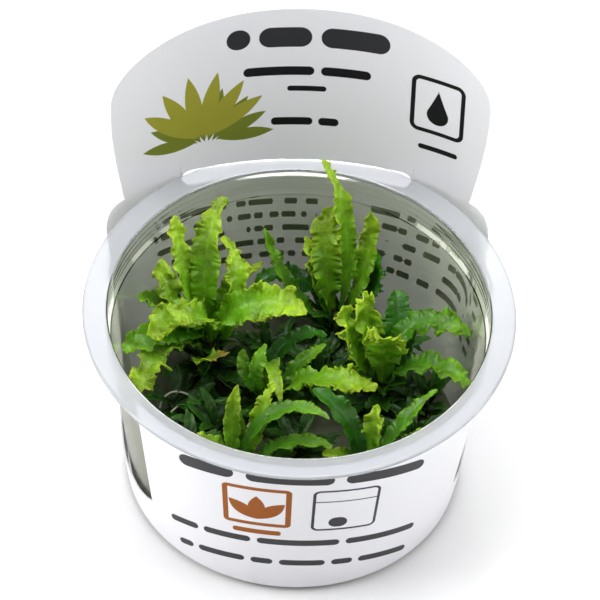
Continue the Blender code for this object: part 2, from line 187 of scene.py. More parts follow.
cup_plastics = [
    make_plastic("clear moulded plastic", "#F9FDEC", 1.0, 0.03, 0.15),
    make_plastic("scuffed rim plastic", "#E2E4E9", 0.6, 0.14, 0.5),
    # In the side windows the roughness is the scuff, and the grey-olive tint is painted shade.
    make_plastic("scuffed wall plastic", "#CCD0B6", 1.0, 0.32, 0.2),
    make_plastic("thick foot plastic", "#8A8F6C", 0.9, 0.1, 0.3),
]

# %% [markdown]
# ## The cup
# The real cup is one thin shell with a rounded foot, a wall that leans out, a small ledge that stops
# stacked cups from jamming, a straight neck and a flat rim that a lid is sealed to. It could be lathed
# from a drawn profile. Here it is made as by hand: a filled circle is the floor, and the whole face is
# extruded and resized again and again, up the outside, over the rim and down the inside, so it closes
# by itself. An extra ring close to each rounded edge keeps the flat beside it flat, so it mirrors the
# studio as one clean plane.

# %% Cup sizes
CUP_HEIGHT = 54.5 * MM
FLANGE_RADIUS = 50.0 * MM
FLANGE_THICKNESS = 1.1 * MM
MOUTH_RADIUS = 44.6 * MM
MOUTH_RING = 44.9 * MM
NECK_RADIUS = 44.75 * MM
NECK_INSIDE = NECK_RADIUS - 0.6 * MM
LEDGE_HEIGHT = 47.6 * MM
LEDGE_FOOT = LEDGE_HEIGHT - 1.0 * MM
BASE_RADIUS = 38.7 * MM
WALL_SLOPE = 0.11
HALF_WALL = 0.3 * MM
BASE_CORNER = 2.2 * MM
FLOOR_THICKNESS = 1.0 * MM
FLOOR_RING = 30.0 * MM
ROUND_SIDES = 192
KEEP_FLAT = 0.15 * MM
SHARP = math.radians(35)

# %% [markdown]
# Every closed solid here starts as a filled circle, so a few helpers take up what its making repeats.

# %% Modelling helpers


def select_only(*pieces):
    """Deselect everything, then select these pieces and make the first one active."""
    for item in bpy.context.selected_objects:
        item.select_set(False)
    for piece in pieces:
        piece.select_set(True)
    if pieces:
        bpy.context.view_layer.objects.active = pieces[0]


def edit_all():
    """Go into edit mode with the whole mesh selected."""
    bpy.ops.object.mode_set(mode="EDIT")
    bpy.ops.mesh.select_all(action="SELECT")


def leave_facing_out():
    """Turn all faces outwards and leave edit mode."""
    bpy.ops.mesh.select_all(action="SELECT")
    bpy.ops.mesh.normals_make_consistent(inside=False)
    bpy.ops.object.mode_set(mode="OBJECT")


def filled_circle(name, sides, radius, place):
    """A round face at its place, in edit mode and selected."""
    select_only()
    bpy.ops.mesh.primitive_circle_add(vertices=sides, radius=radius, fill_type="NGON", location=place)
    piece = bpy.context.active_object
    piece.name = name
    bpy.ops.object.transform_apply(location=True, rotation=True, scale=True)
    edit_all()
    return piece


def extrude_face(rise, share, centre):
    """Extrude the selected face up by rise and resize it by a share about a centre."""
    bpy.ops.mesh.extrude_region_move(TRANSFORM_OT_translate={"value": (0, 0, rise)})
    bpy.ops.transform.resize(value=(share, share, 1), center_override=centre)


def turned_piece(name, profile, material):
    """A closed round body: a filled circle on the first (r, z) ring, extruded through the others."""
    r, z = profile[0]
    piece = filled_circle(name, ROUND_SIDES, r, (0, 0, z))
    for (r, z), (next_r, next_z) in zip(profile, profile[1:]):
        extrude_face(next_z - z, next_r / r, (0, 0, next_z))
    leave_facing_out()
    piece.data.materials.append(material)
    bpy.ops.object.shade_smooth_by_angle(angle=SHARP)
    return piece


# %% [markdown]
# The profile is a list of points, each a distance from the axis and a height.

# %% Cup profile


def wall_outside(z):
    return BASE_RADIUS + WALL_SLOPE * z


def wall_inside(z):
    return wall_outside(z) - 2 * HALF_WALL


def corner(centre, radius, start, end, steps):
    """Points (r, z) along a round corner, between two angles in degrees."""
    angles = [math.radians(start + (end - start) * k / steps) for k in range(steps + 1)]
    return [(centre[0] + radius * math.cos(a), centre[1] + radius * math.sin(a)) for a in angles]


def cup_profile():
    """The outline from the middle of the floor's underside, out, up, over the rim and down inside."""
    edge_round = FLANGE_THICKNESS / 2
    lip_round = MOUTH_RADIUS - NECK_INSIDE
    inner_round = BASE_CORNER - FLOOR_THICKNESS / 2
    under = CUP_HEIGHT - FLANGE_THICKNESS
    flat_end = FLANGE_RADIUS - edge_round - KEEP_FLAT
    return [
        (FLOOR_RING, 0),
        *corner((wall_outside(0) - BASE_CORNER, BASE_CORNER), BASE_CORNER, -90, 0, 6),
        (wall_outside(LEDGE_FOOT), LEDGE_FOOT), (NECK_RADIUS, LEDGE_HEIGHT),
        (NECK_RADIUS, under - KEEP_FLAT), (NECK_RADIUS, under),
        (NECK_RADIUS + KEEP_FLAT, under), (flat_end, under),
        *corner((FLANGE_RADIUS - edge_round, CUP_HEIGHT - edge_round), edge_round, -90, 90, 8),
        (flat_end, CUP_HEIGHT), (MOUTH_RING, CUP_HEIGHT), (MOUTH_RADIUS + KEEP_FLAT, CUP_HEIGHT),
        *corner((MOUTH_RADIUS, CUP_HEIGHT - lip_round), lip_round, 90, 180, 5),
        (NECK_INSIDE, CUP_HEIGHT - lip_round - KEEP_FLAT), (NECK_INSIDE, LEDGE_HEIGHT + HALF_WALL),
        (wall_inside(LEDGE_FOOT), LEDGE_FOOT + HALF_WALL),
        *corner((wall_inside(0) - inner_round, FLOOR_THICKNESS + inner_round), inner_round, 0, -90, 6),
        (FLOOR_RING, FLOOR_THICKNESS)]


# %% [markdown]
# Each face of the cup gets its finish by its place: the rim, the outer wall in the windows, the foot.
# The windows run from the sleeve's front panel to its back wings, in degrees from the front.

# %% Cup
PANEL_LEFT = -51.3
PANEL_RIGHT = 67.5
WING_FULL = 103.0
RIM_DEPTH = 1.2 * FLANGE_THICKNESS
RIM_INSIDE = MOUTH_RADIUS - 0.2 * MM
FOOT_UNDERSIDE = 0.05 * MM
FOOT_WIDTH = 1.8 * MM


def bearing_of(point):
    """Degrees from the front, turning towards +X."""
    return math.degrees(math.atan2(point.x, -point.y))


def cup_finish(centre):
    """Number of the finish for a face of the cup, by the place of its centre."""
    z, r = centre.z, centre.xy.length
    if z > CUP_HEIGHT - RIM_DEPTH and r > RIM_INSIDE:
        return 1
    if BASE_CORNER < z < LEDGE_FOOT and r > wall_outside(z) - HALF_WALL:
        bearing = bearing_of(centre)
        if -WING_FULL < bearing < PANEL_LEFT or PANEL_RIGHT < bearing < WING_FULL:
            return 2
    if FOOT_UNDERSIDE < z < BASE_CORNER and r > wall_outside(0) - FOOT_WIDTH:
        return 3
    return 0


cup = turned_piece("clear_cup", cup_profile(), cup_plastics[0])
for plastic in cup_plastics[1:]:
    cup.data.materials.append(plastic)
for face in cup.data.polygons:
    face.material_index = cup_finish(face.center)
print("cup: %d faces" % len(cup.data.polygons))

# %% [markdown]
# ## Nutrient gel
# The plants stand on a layer of agar, a soft jelly that is cloudy grey-green and wet on top. It creeps
# up a little where it meets the wall. It lets light in but not through, so it is part transmission and
# part soft scatter, with a low gloss. Its clouds are some 14 mm across and its lumps 4.5 mm.

# %% Gel material and body
GEL_GAP = 0.3 * MM
GEL_TOP = 9.5 * MM
GEL_CREEP = 0.2 * MM
GEL_EDGE = 1.6 * MM
GEL_STEPS = 5


def make_gel_material():
    material, add = new_material("agar nutrient gel")
    clouds = add("MapRange", [grain(add, 70, 3), 0.35, 0.65, 0, 1], **SMOOTH)
    set_surface(add, {
        "Base Color": layered(add, "#5F6650", (clouds, "#7E8468")), "Roughness": 0.22, "IOR": 1.34,
        "Transmission Weight": 0.25, "Subsurface Weight": 0.3, "Subsurface Radius": (1.0, 1.0, 0.8),
        "Subsurface Scale": 0.002}, grain(add, 220, 2), 0.35, 0.001)
    return material


def gel_profile():
    bottom = FLOOR_THICKNESS + GEL_GAP
    low_side = wall_inside(bottom) - GEL_GAP
    high_side = wall_inside(GEL_TOP + GEL_CREEP) - GEL_GAP
    foot = corner((low_side - GEL_EDGE, bottom + GEL_EDGE), GEL_EDGE, -90, 0, GEL_STEPS)
    shares = [k / GEL_STEPS for k in range(GEL_STEPS + 1)]
    creep = [(high_side - GEL_EDGE * share, GEL_TOP + GEL_CREEP * (1 - share) ** 2) for share in shares]
    return [(FLOOR_RING, bottom)] + foot + creep + [(FLOOR_RING, GEL_TOP)]


gel = turned_piece("nutrient_gel", gel_profile(), make_gel_material())
print("gel: %d faces, top at %.1f mm" % (len(gel.data.polygons), GEL_TOP / MM))

# %% [markdown]
# ## The sleeve's shape
# The sleeve is one sheet of white plastic film or coated card. It hugs the cup in a low band, covers the
# front, leaves a window at each side, covers the back and goes on past the rim as an arched flag. The
# rim pokes out behind through a slit in it.
#
# Paper bends one way only, so every line from the foot up to the rim's level is straight. That makes
# a formula the right tool: flat grids are added, and each vertex goes to its place on the rolled sheet.
# The pieces of grid share their edge points, so they merge into one sheet, which Solidify then thickens
# inwards. Bearings are degrees from the front, turning towards +X.

# %% Sleeve sizes
SHEET = 0.4 * MM
SLEEVE_BOTTOM = 1.5 * MM
SLEEVE_TOP = 52.8 * MM
SLEEVE_RADIUS = 39.4 * MM
SLEEVE_SLOPE = 0.128
BAND_HEIGHT = 10.5 * MM
BAND_TIP = 3.0 * MM
BAND_TIP_SPREAD = 12.0
WING_START = 80.0
FLAG_BEARING = 183.0
FLAG_BOW = 80.0 * MM
FLAG_STANDOFF = 47.6 * MM
FLAG_HALF_WIDTH = 41.2 * MM
FLAG_SHOULDER = 44.2 * MM
FLAG_SHOULDER_HEIGHT = 81.0 * MM
FLAG_TOP = 98.6 * MM
FLAG_LEAN = math.radians(8.3)
ARCH_POWER = 2.3
SLIT_HALF_WIDTH = 27.5 * MM
SLIT_TOP = 55.0 * MM
SLIT_BOTTOM = 50.0 * MM
SLIT_ROUND = 2.6 * MM
SLIT_SHARE = SLIT_HALF_WIDTH / FLAG_HALF_WIDTH
FLARE_START = 48.0
FLARE_END = 72.0
FLAG_INSET = 0.08 * MM

# %% Angles and curves


def clamped(t):
    return min(max(t, 0.0), 1.0)


def smooth_step(low, high, value):
    t = clamped((value - low) / (high - low))
    return t * t * (3 - 2 * t)


def quarter_round(low, high, t):
    """A height that leaves low level and meets high upright, like a quarter ellipse."""
    return low + (high - low) * (1 - math.sqrt(1 - clamped(t) ** 2))


def turn_from(reference, angle):
    """How far an angle lies from the reference, within half a turn."""
    return (angle - reference + 180) % 360 - 180


def near_angle(angle, reference):
    """The same angle, moved by full turns to lie within half a turn of the reference."""
    return reference + (angle - reference + 180) % 360 - 180


# %% The rolled sheet


def bowed_radius(angle):
    """Distance from the axis to the flag's bowed plan line, at an angle from the flag's middle."""
    inset = FLAG_BOW - FLAG_STANDOFF
    return math.sqrt(FLAG_BOW ** 2 - (inset * math.sin(angle)) ** 2) - inset * math.cos(angle)


def sleeve_point(bearing, z):
    """A point of the outer face below the rim."""
    off = abs(turn_from(FLAG_BEARING, bearing))
    snug = SLEEVE_RADIUS + SLEEVE_SLOPE * CUP_HEIGHT
    flare = 1 - smooth_step(FLARE_START, FLARE_END, off)
    top = snug + flare * (bowed_radius(math.radians(min(off, FLARE_END))) - snug)
    r = SLEEVE_RADIUS + (top - SLEEVE_RADIUS) * z / CUP_HEIGHT
    b = math.radians(bearing)
    return Vector((r * math.sin(b), -r * math.cos(b), z))


def flag_point(u, z):
    """Outer face of the flag; u runs from -1 to 1 across it. The CAD flag is flat between its columns,
    so this finer one stands a hair further in."""
    rise = math.sin(clamped((z - CUP_HEIGHT) / (FLAG_SHOULDER_HEIGHT - CUP_HEIGHT)) * math.pi / 2)
    across = u * (FLAG_HALF_WIDTH + (FLAG_SHOULDER - FLAG_HALF_WIDTH) * rise)
    back = FLAG_STANDOFF - FLAG_INSET - FLAG_BOW + math.sqrt(FLAG_BOW ** 2 - across ** 2)
    back += (z - CUP_HEIGHT) * math.tan(FLAG_LEAN)
    b = math.radians(FLAG_BEARING)
    side = Vector((math.cos(b), math.sin(b), 0))
    rear = Vector((math.sin(b), -math.cos(b), 0))
    return across * side + back * rear + Vector((0, 0, z))


def flag_bearing(u):
    """Bearing of the flag's column u where it passes the rim."""
    across = u * FLAG_HALF_WIDTH
    back = FLAG_STANDOFF - FLAG_BOW + math.sqrt(FLAG_BOW ** 2 - across ** 2)
    return FLAG_BEARING + math.degrees(math.atan2(across, back))


# %% Upper edges of the sheet


def crest(u):
    """Height of the flag's arched edge at u."""
    bend = max(1 - abs(u) ** ARCH_POWER, 0.0) ** (1 / ARCH_POWER)
    return FLAG_SHOULDER_HEIGHT + (FLAG_TOP - FLAG_SHOULDER_HEIGHT) * bend


def band_top(bearing):
    """Upper edge of the low band, which turns up into a tip beside the front panel."""
    signed = turn_from(0, bearing)
    off = min(abs(signed - PANEL_LEFT), abs(signed - PANEL_RIGHT))
    near = max(0.0, 1 - off / BAND_TIP_SPREAD)
    return BAND_HEIGHT + BAND_TIP * near * near


def wing_top(bearing):
    """Upper edge behind a side window, from the band up to the rim."""
    t = (abs(turn_from(0, bearing)) - WING_START) / (WING_FULL - WING_START)
    return quarter_round(band_top(bearing), SLEEVE_TOP, t)


def slit_edge(u, open_height):
    """Height of the slit's edge at u: open_height in the middle, closing roundly at its ends."""
    t = (abs(u) * FLAG_HALF_WIDTH - SLIT_HALF_WIDTH + SLIT_ROUND) / SLIT_ROUND
    return quarter_round(open_height, SLEEVE_TOP, t)


# %% [markdown]
# The grid operator makes a flat square of faces. A short helper adds one, then lays it: column by
# column, row by row, each vertex goes where the sheet is.

# %% Lay grids on the rolled sheet


def spaced(start, end, spans):
    return [start + (end - start) * k / spans for k in range(spans + 1)]


def add_grid(name, columns, rows):
    """A flat grid of so many faces each way. Its vertices run along a row, then to the next row."""
    select_only()
    bpy.ops.mesh.primitive_grid_add(x_subdivisions=columns, y_subdivisions=rows, size=1)
    grid = bpy.context.active_object
    grid.name = name
    return grid


def laid_grid(name, columns, rows, place):
    """A grid whose vertices are laid by place(column, share of the way up)."""
    grid = add_grid(name, len(columns) - 1, rows)
    for index, vertex in enumerate(grid.data.vertices):
        column = columns[index % len(columns)]
        vertex.co = place(column, (index // len(columns)) / rows)
    return grid


def on_band(bearing, share):
    return sleeve_point(bearing, SLEEVE_BOTTOM + (band_top(bearing) - SLEEVE_BOTTOM) * share)


def on_front(bearing, share):
    low = band_top(bearing)
    return sleeve_point(bearing, low + (SLEEVE_TOP - low) * share)


def on_back(bearing, share):
    low = band_top(bearing)
    off = math.radians(near_angle(bearing, FLAG_BEARING) - FLAG_BEARING)
    u = bowed_radius(off) * math.sin(off) / FLAG_HALF_WIDTH if abs(off) < math.pi / 3 else 1.0
    return sleeve_point(bearing, low + (min(wing_top(bearing), slit_edge(u, SLIT_BOTTOM)) - low) * share)


def on_flag(u, share):
    """The flag stands on the back panel, except over the slit."""
    if share == 0 and abs(u) >= SLIT_SHARE - 1e-9:
        return on_back(flag_bearing(u), 1.0)
    foot = slit_edge(u, SLIT_TOP)
    return flag_point(u, foot + (crest(u) - foot) * share)


# %% [markdown]
# The columns stand closer where the outline curves: at the wings, the slit's ends and the flag's sides.

# %% Columns of the sheet
QUARTER = math.pi / 2
slit_end = [SLIT_HALF_WIDTH - SLIT_ROUND * (1 - math.sin(a)) for a in spaced(0, QUARTER, 6)]
slit_end = [reach / FLAG_HALF_WIDTH for reach in slit_end]
side_us = slit_end[:-1] + [math.sin(a) for a in spaced(math.asin(SLIT_SHARE), QUARTER, 14)]
flag_us = [-u for u in reversed(side_us)] + spaced(-slit_end[0], slit_end[0], 30)[1:-1] + side_us
flag_bearings = [flag_bearing(u) for u in flag_us]
rising = [WING_START + (WING_FULL - WING_START) * math.sin(a) for a in spaced(0, QUARTER, 18)]
back_columns = rising + spaced(WING_FULL, flag_bearings[0], 10)[1:-1] + flag_bearings
back_columns += spaced(flag_bearings[-1], 360 - WING_FULL, 10)[1:-1] + [360 - b for b in reversed(rising)]
front_columns = spaced(PANEL_LEFT, PANEL_RIGHT, 60)
band_columns = front_columns + spaced(PANEL_RIGHT, WING_START, 8)[1:-1] + back_columns
band_columns += spaced(360 - WING_START, 360 + PANEL_LEFT, 18)[1:]

# %% [markdown]
# The four grids are joined and what they share is merged.

# %% Join the sheet
MERGE_WITHIN = 0.02 * MM
SLIVER = 0.005 * MM


def join(pieces, name):
    select_only(*pieces)
    bpy.ops.object.join()
    joined = bpy.context.active_object
    joined.name = name
    return joined


sleeve = join([
    laid_grid("band", band_columns, 4, on_band),
    laid_grid("front_panel", front_columns, 12, on_front),
    laid_grid("back_panel", back_columns, 12, on_back),
    laid_grid("flag", flag_us, 22, on_flag)], "printed_sleeve")
edit_all()
bpy.ops.mesh.remove_doubles(threshold=MERGE_WITHIN)
bpy.ops.mesh.dissolve_degenerate(threshold=SLIVER)
bpy.ops.object.mode_set(mode="OBJECT")
print("sleeve sheet: %d faces" % len(sleeve.data.polygons))

# %% [markdown]
# ## Two flat maps for the print
# The sheet was printed flat, so the print needs a flat map. Each face gets its place as laid out flat:
# once measured from the middle of the front, once from the middle of the flag. A map is written for
# each face's own corners, so no face is stretched where the bearings jump at the far side.

# %% Map the sheet
MAP_SPAN = 400.0
FRONT_PRINT_RADIUS = 43.0
BACK_PRINT_RADIUS = 50.0
FLAG_FOOT = SLEEVE_TOP + 0.5 * MM


def drop_maps(mesh):
    while mesh.uv_layers:
        mesh.uv_layers.remove(mesh.uv_layers[0])


def across_flag(point):
    """Distance from the flag's middle line, in millimetres, measured as on the flat sheet."""
    b = math.radians(FLAG_BEARING)
    across = point.x * math.cos(b) + point.y * math.sin(b)
    return -math.copysign(FLAG_BOW * math.asin(min(abs(across) / FLAG_BOW, 1.0)), across) / MM


def map_print(mesh):
    """Write the front map and the back map, in shares of MAP_SPAN millimetres."""
    drop_maps(mesh)
    front = mesh.uv_layers.new(name="front print")
    back = mesh.uv_layers.new(name="back print")
    for face in mesh.polygons:
        middle = bearing_of(face.center)
        for loop in face.loop_indices:
            point = mesh.vertices[mesh.loops[loop].vertex_index].co
            height = point.z / MM / MAP_SPAN
            bearing = near_angle(bearing_of(point), middle)
            front.data[loop].uv = (math.radians(bearing) * FRONT_PRINT_RADIUS / MAP_SPAN, height)
            off = near_angle(middle, FLAG_BEARING) - FLAG_BEARING + (bearing - middle)
            reach = across_flag(point) if point.z > FLAG_FOOT else -math.radians(off) * BACK_PRINT_RADIUS
            back.data[loop].uv = (reach / MAP_SPAN, height)


map_print(sleeve.data)

# %% [markdown]
# ## White film and its print
# Coated white film has a cool white with a faint lavender cast and a soft sheen. The ink is flat and
# lies in the surface, so it is colour only. The print here is a generic design: plain bars where words
# would stand, a rosette of pointed leaves, a drop in a frame, a framed sprig and a glass with its water
# line. Bars and leaves are worked out from distances on the flat map, so their edges stay sharp at any
# size. All their sizes are millimetres.

# %% Print helpers


def flat_place(add, map_name):
    """A place on the flat sheet in millimetres."""
    return add("VectorMath", {0: add("UVMap", uv_map=map_name), "Scale": MAP_SPAN}, "SCALE")


def edge_mask(add, distance):
    """Ink where a distance is below zero, with an edge 0.1 mm soft."""
    return add("MapRange", [distance, -0.05, 0.05, 1, 0], **SMOOTH)


def bar_distance(add, place, bar):
    """Distance to a bar with round corners: (left, right, bottom, top, corner)."""
    left, right, bottom, top, radius = bar
    centre = ((left + right) / 2, (bottom + top) / 2, 0)
    inner = ((right - left) / 2 - radius, (top - bottom) / 2 - radius, 1)
    size = add("VectorMath", [add("VectorMath", [place, centre], "SUBTRACT")], "ABSOLUTE")
    beyond = add("VectorMath", [add("VectorMath", [size, inner], "SUBTRACT"), (0, 0, 0)], "MAXIMUM")
    return add("Math", [add("VectorMath", [beyond], "LENGTH", out="Value"), radius], "SUBTRACT")


def most(add, masks):
    """The union of masks."""
    total = masks[0]
    for mask in masks[1:]:
        total = add("Math", [total, mask], "MAXIMUM")
    return total


def filled(add, place, bars):
    """The union of filled bars."""
    return most(add, [edge_mask(add, bar_distance(add, place, bar)) for bar in bars])


def outlined(add, place, bar, line):
    """The outline of a bar."""
    inside = add("Math", [bar_distance(add, place, bar), line / 2], "ADD")
    return edge_mask(add, add("Math", [add("Math", [inside], "ABSOLUTE"), line / 2], "SUBTRACT"))


def leaf_mask(add, place, foot, angle, length, width):
    """A pointed leaf that leaves its foot at an angle from upright, between two parabolas."""
    turned = add("Mapping", [place, foot + (0,), (0, 0, math.radians(-angle))], vector_type="TEXTURE")
    across, along = add("SeparateXYZ", [turned]).node.outputs[:2]
    t = add("Math", [along, length], "DIVIDE")
    away = add("Math", [add("Math", [across], "ABSOLUTE"), width / 2], "DIVIDE")
    body = add("Math", [t, add("Math", [1, t], "SUBTRACT")], "MULTIPLY")
    edge = add("Math", [away, add("Math", [body, 4], "MULTIPLY")], "SUBTRACT")
    return add("MapRange", [edge, -0.04, 0.04, 1, 0], **SMOOTH)


def leaves(add, place, rows):
    """The union of leaves."""
    return most(add, [leaf_mask(add, place, *row) for row in rows])


# %% [markdown]
# Rows of small print seen through the wall are too fine to read, so they are drawn as broken dashes:
# a row pattern across the height, cut into pieces of word length by noise along the row.

# %% Small print
ROW_PITCH = 4.0
ROW_HEIGHT = 1.7
WORD_LENGTH = 3.0
ROW_JUMP = 7.31


def small_print(add, place, block):
    """Rows of word-length dashes inside a block (left, right, bottom, top)."""
    x, y = add("SeparateXYZ", [place]).node.outputs[:2]
    rows = add("Math", [add("Math", [y, block[2]], "SUBTRACT"), ROW_PITCH], "DIVIDE")
    away = add("Math", [add("Math", [add("Math", [rows], "FRACT"), 0.5], "SUBTRACT")], "ABSOLUTE")
    jump = add("Math", [add("Math", [rows], "FLOOR"), ROW_JUMP], "MULTIPLY")
    words = add("CombineXYZ", [add("Math", [x, WORD_LENGTH], "DIVIDE"), jump])
    gaps = add("TexNoise", {"Vector": words, "Scale": 1, "Detail": 0}, noise_dimensions="2D")
    half = add("MapRange", [gaps, 0.40, 0.47, 0, ROW_HEIGHT / ROW_PITCH / 2], **SMOOTH)
    beyond = add("Math", [add("Math", [away, half], "SUBTRACT"), ROW_PITCH], "MULTIPLY")
    inside = filled(add, place, [block + (0.5,)])
    return add("Math", [edge_mask(add, beyond), inside], "MULTIPLY")


# %% [markdown]
# The designs are lists of bars and leaves. A leaf is a foot, an angle, a length and a width.

# %% Designs


def word_line(bottom, top, corner, *spans):
    """Bars on one line, each from a left to a right edge."""
    return [(left, right, bottom, top, corner) for left, right in spans]


FLAG_HEADING = word_line(87.8, 93.4, 2.7, (-17.5, -11.9), (-9.8, 2.6), (4.8, 21.0))
FLAG_WORDS = [
    *word_line(79.7, 82.2, 1.2, (-13.3, 3.4), (5.0, 16.8)), *word_line(75.1, 76.6, 0.7, (-2.8, 6.4)),
    *word_line(65.2, 67.4, 1.0, (-6.4, 3.4), (4.8, 9.6)), *word_line(63.6, 65.0, 0.7, (29.0, 39.0))]
DROP_DISCS = [(74.2 + 0.62 * k, 2.7 * (1 - k / 12) ** 1.15) for k in range(12)]
DROP = [(33.4 - w, 33.4 + w, z - w, z + w, w - 0.01) for z, w in DROP_DISCS]
DROP_FRAME = (26.6, 40.2, 68.6, 84.6, 2.2)
LOW_LEAVES = [((-25 + 0.9 * k, 62.6), -84 + 24 * k, 15.5 - 0.7 * abs(k - 3.5), 3.4) for k in range(8)]
HIGH_LEAVES = [((-24.5 + 0.5 * k, 64.0), -52 + 21 * k, 19.0 - 0.9 * abs(k - 2.5), 4.0) for k in range(6)]
SMALL_BLOCKS = ((-38, 6, 24.6, 44.6), (20, 66, 24.6, 44.6))

FRONT_WORDS = [
    *word_line(45.8, 50.2, 2.1, (-26, -12.6)), *word_line(46.0, 49.8, 1.8, (-9.8, 9.4), (12.0, 31.5)),
    *word_line(20.0, 22.4, 1.1, (-31.0, -22.6), (-21.0, -9.0), (-7.4, 12.2), (13.8, 33.4)),
    *word_line(11.3, 13.6, 1.1, (-29.0, -24.6), (-23.0, -10.6), (-9.0, -3.6), (-2.0, 9.2),
               (10.8, 16.2), (17.8, 32.0))]
GLASS = (5.0, 20.6, 26.6, 43.6, 1.8)
WATER_AND_STONE = [(5.2, 20.4, 38.6, 39.0, 0.15), (9.0, 13.4, 28.0, 32.0, 1.9)]
SPRIG_FRAME = (-15.4, 0.4, 27.6, 43.6, 1.4)
SPRIG = [((-7.5, 30.4), angle, 9.6, 4.0) for angle in (-42, 0, 42)]
CAPTION = (-13.2, -1.8, 24.0, 25.9, 0.7)
# The front's lines of print rise 5.5 mm at 40 degrees from the middle.
LINE_CURVE = 5.5 / (40 * math.pi / 180 * FRONT_PRINT_RADIUS) ** 2

# %% [markdown]
# The flag's design and the small print behind the cup are on the sheet's inner face, because that is
# the face which looks forward. The front design is on the outer face.

# %% Print the two faces
WHITE_FILM = "#EDEDF3"
GREY_INK = "#353538"
BLACK_INK = "#1B1B1D"
FADED_INK = "#8E9187"
BROWN_INK = "#9A5200"
OLIVE_INK = "#7F8A34"
STRAW_INK = "#A9A63E"


def print_film(add, *layers):
    """White film lets light through; each layer of ink (mask, colour) stops it and is more matt."""
    ink = most(add, [mask for mask, colour in layers])
    set_surface(add, {
        "Base Color": layered(add, WHITE_FILM, *layers), "Roughness": 0.38, "IOR": 1.5,
        "Specular IOR Level": add("MapRange", [ink, 0, 1, 0.4, 0.12], **SMOOTH),
        "Subsurface Weight": add("MapRange", [ink, 0, 1, 0.5, 0.04], **SMOOTH),
        "Subsurface Radius": (1, 1, 1), "Subsurface Scale": 0.001}, grain(add, 900, 2), 0.03, 0.0002)


def flag_face():
    """The face of the flag and back panel that looks forward."""
    material, add = new_material("printed white film, flag side")
    place = flat_place(add, "back print")
    black = most(add, [filled(add, place, FLAG_WORDS + DROP), outlined(add, place, DROP_FRAME, 1.1)])
    print_film(
        add, (filled(add, place, FLAG_HEADING), GREY_INK), (black, BLACK_INK),
        (leaves(add, place, LOW_LEAVES), OLIVE_INK), (leaves(add, place, HIGH_LEAVES), STRAW_INK),
        (most(add, [small_print(add, place, block) for block in SMALL_BLOCKS]), FADED_INK))
    return material


def front_face():
    """The outer face: a heading, two marks and two lines of words, all set on a shallow curve."""
    material, add = new_material("printed white film, front")
    x, y = add("SeparateXYZ", [flat_place(add, "front print")]).node.outputs[:2]
    sag = add("Math", [add("Math", [x, x], "MULTIPLY"), LINE_CURVE], "MULTIPLY")
    place = add("CombineXYZ", [x, add("Math", [y, sag], "ADD")])
    grey = most(add, [filled(add, place, FRONT_WORDS + WATER_AND_STONE), outlined(add, place, GLASS, 0.7)])
    brown = most(add, [
        outlined(add, place, SPRIG_FRAME, 1.3), leaves(add, place, SPRIG), filled(add, place, [CAPTION])])
    print_film(add, (grey, GREY_INK), (brown, BROWN_INK))
    return material


sleeve.data.materials.append(front_face())
sleeve.data.materials.append(flag_face())

# %% [markdown]
# The sheet's faces are turned away from the cup, then it is thickened inwards. The new inner face gets
# the second material.

# %% Thicken the sheet


def thicken(piece, thickness, offset, material_offset=0, even=False):
    """Give a sheet its thickness, and leave it so."""
    modifier = piece.modifiers.new("thickness", "SOLIDIFY")
    modifier.thickness = thickness
    modifier.offset = offset
    modifier.use_even_offset = even
    modifier.material_offset = material_offset
    select_only(piece)
    bpy.ops.object.modifier_apply(modifier=modifier.name)


select_only(sleeve)
edit_all()
leave_facing_out()
if sum(face.normal.dot(face.center.xy.to_3d()) for face in sleeve.data.polygons) < 0:
    sleeve.data.flip_normals()
thicken(sleeve, SHEET, -1, material_offset=1, even=True)
bpy.ops.object.shade_smooth_by_angle(angle=SHARP)
print("sleeve: %d faces after Solidify" % len(sleeve.data.polygons))

# %% [markdown]
# ## Leaf tissue
# These leaves are thin, wet and full of light. Young ones are yellow-green and glow at the crisped margins,
# where the blade is thinnest; the paler colour there is partly their own yellow-green and partly painted
# glow. Old ones low in the cup are dark green and glossy, a green that is partly their own and partly
# painted shade. All the leaf finishes share one recipe: a colour that warms from root to tip and from midrib
# to margin, a pale midrib, side veins every 1.6 mm or so, patches of 4 mm, fine grain, and soft scatter
# below the surface for the glow. Real cells are too fine to show, so the grain is drawn at 0.7 mm.
#
# The blade map runs across the blade in U and along it in V. An attribute named fresh makes single
# leaves lighter or darker, and one named dry turns a leaf's tip to brown.

# %% Leaf material
DRY_TISSUE = "#8C7A34"
VEINS_ALONG = 17
VEIN_SLANT = 2.2


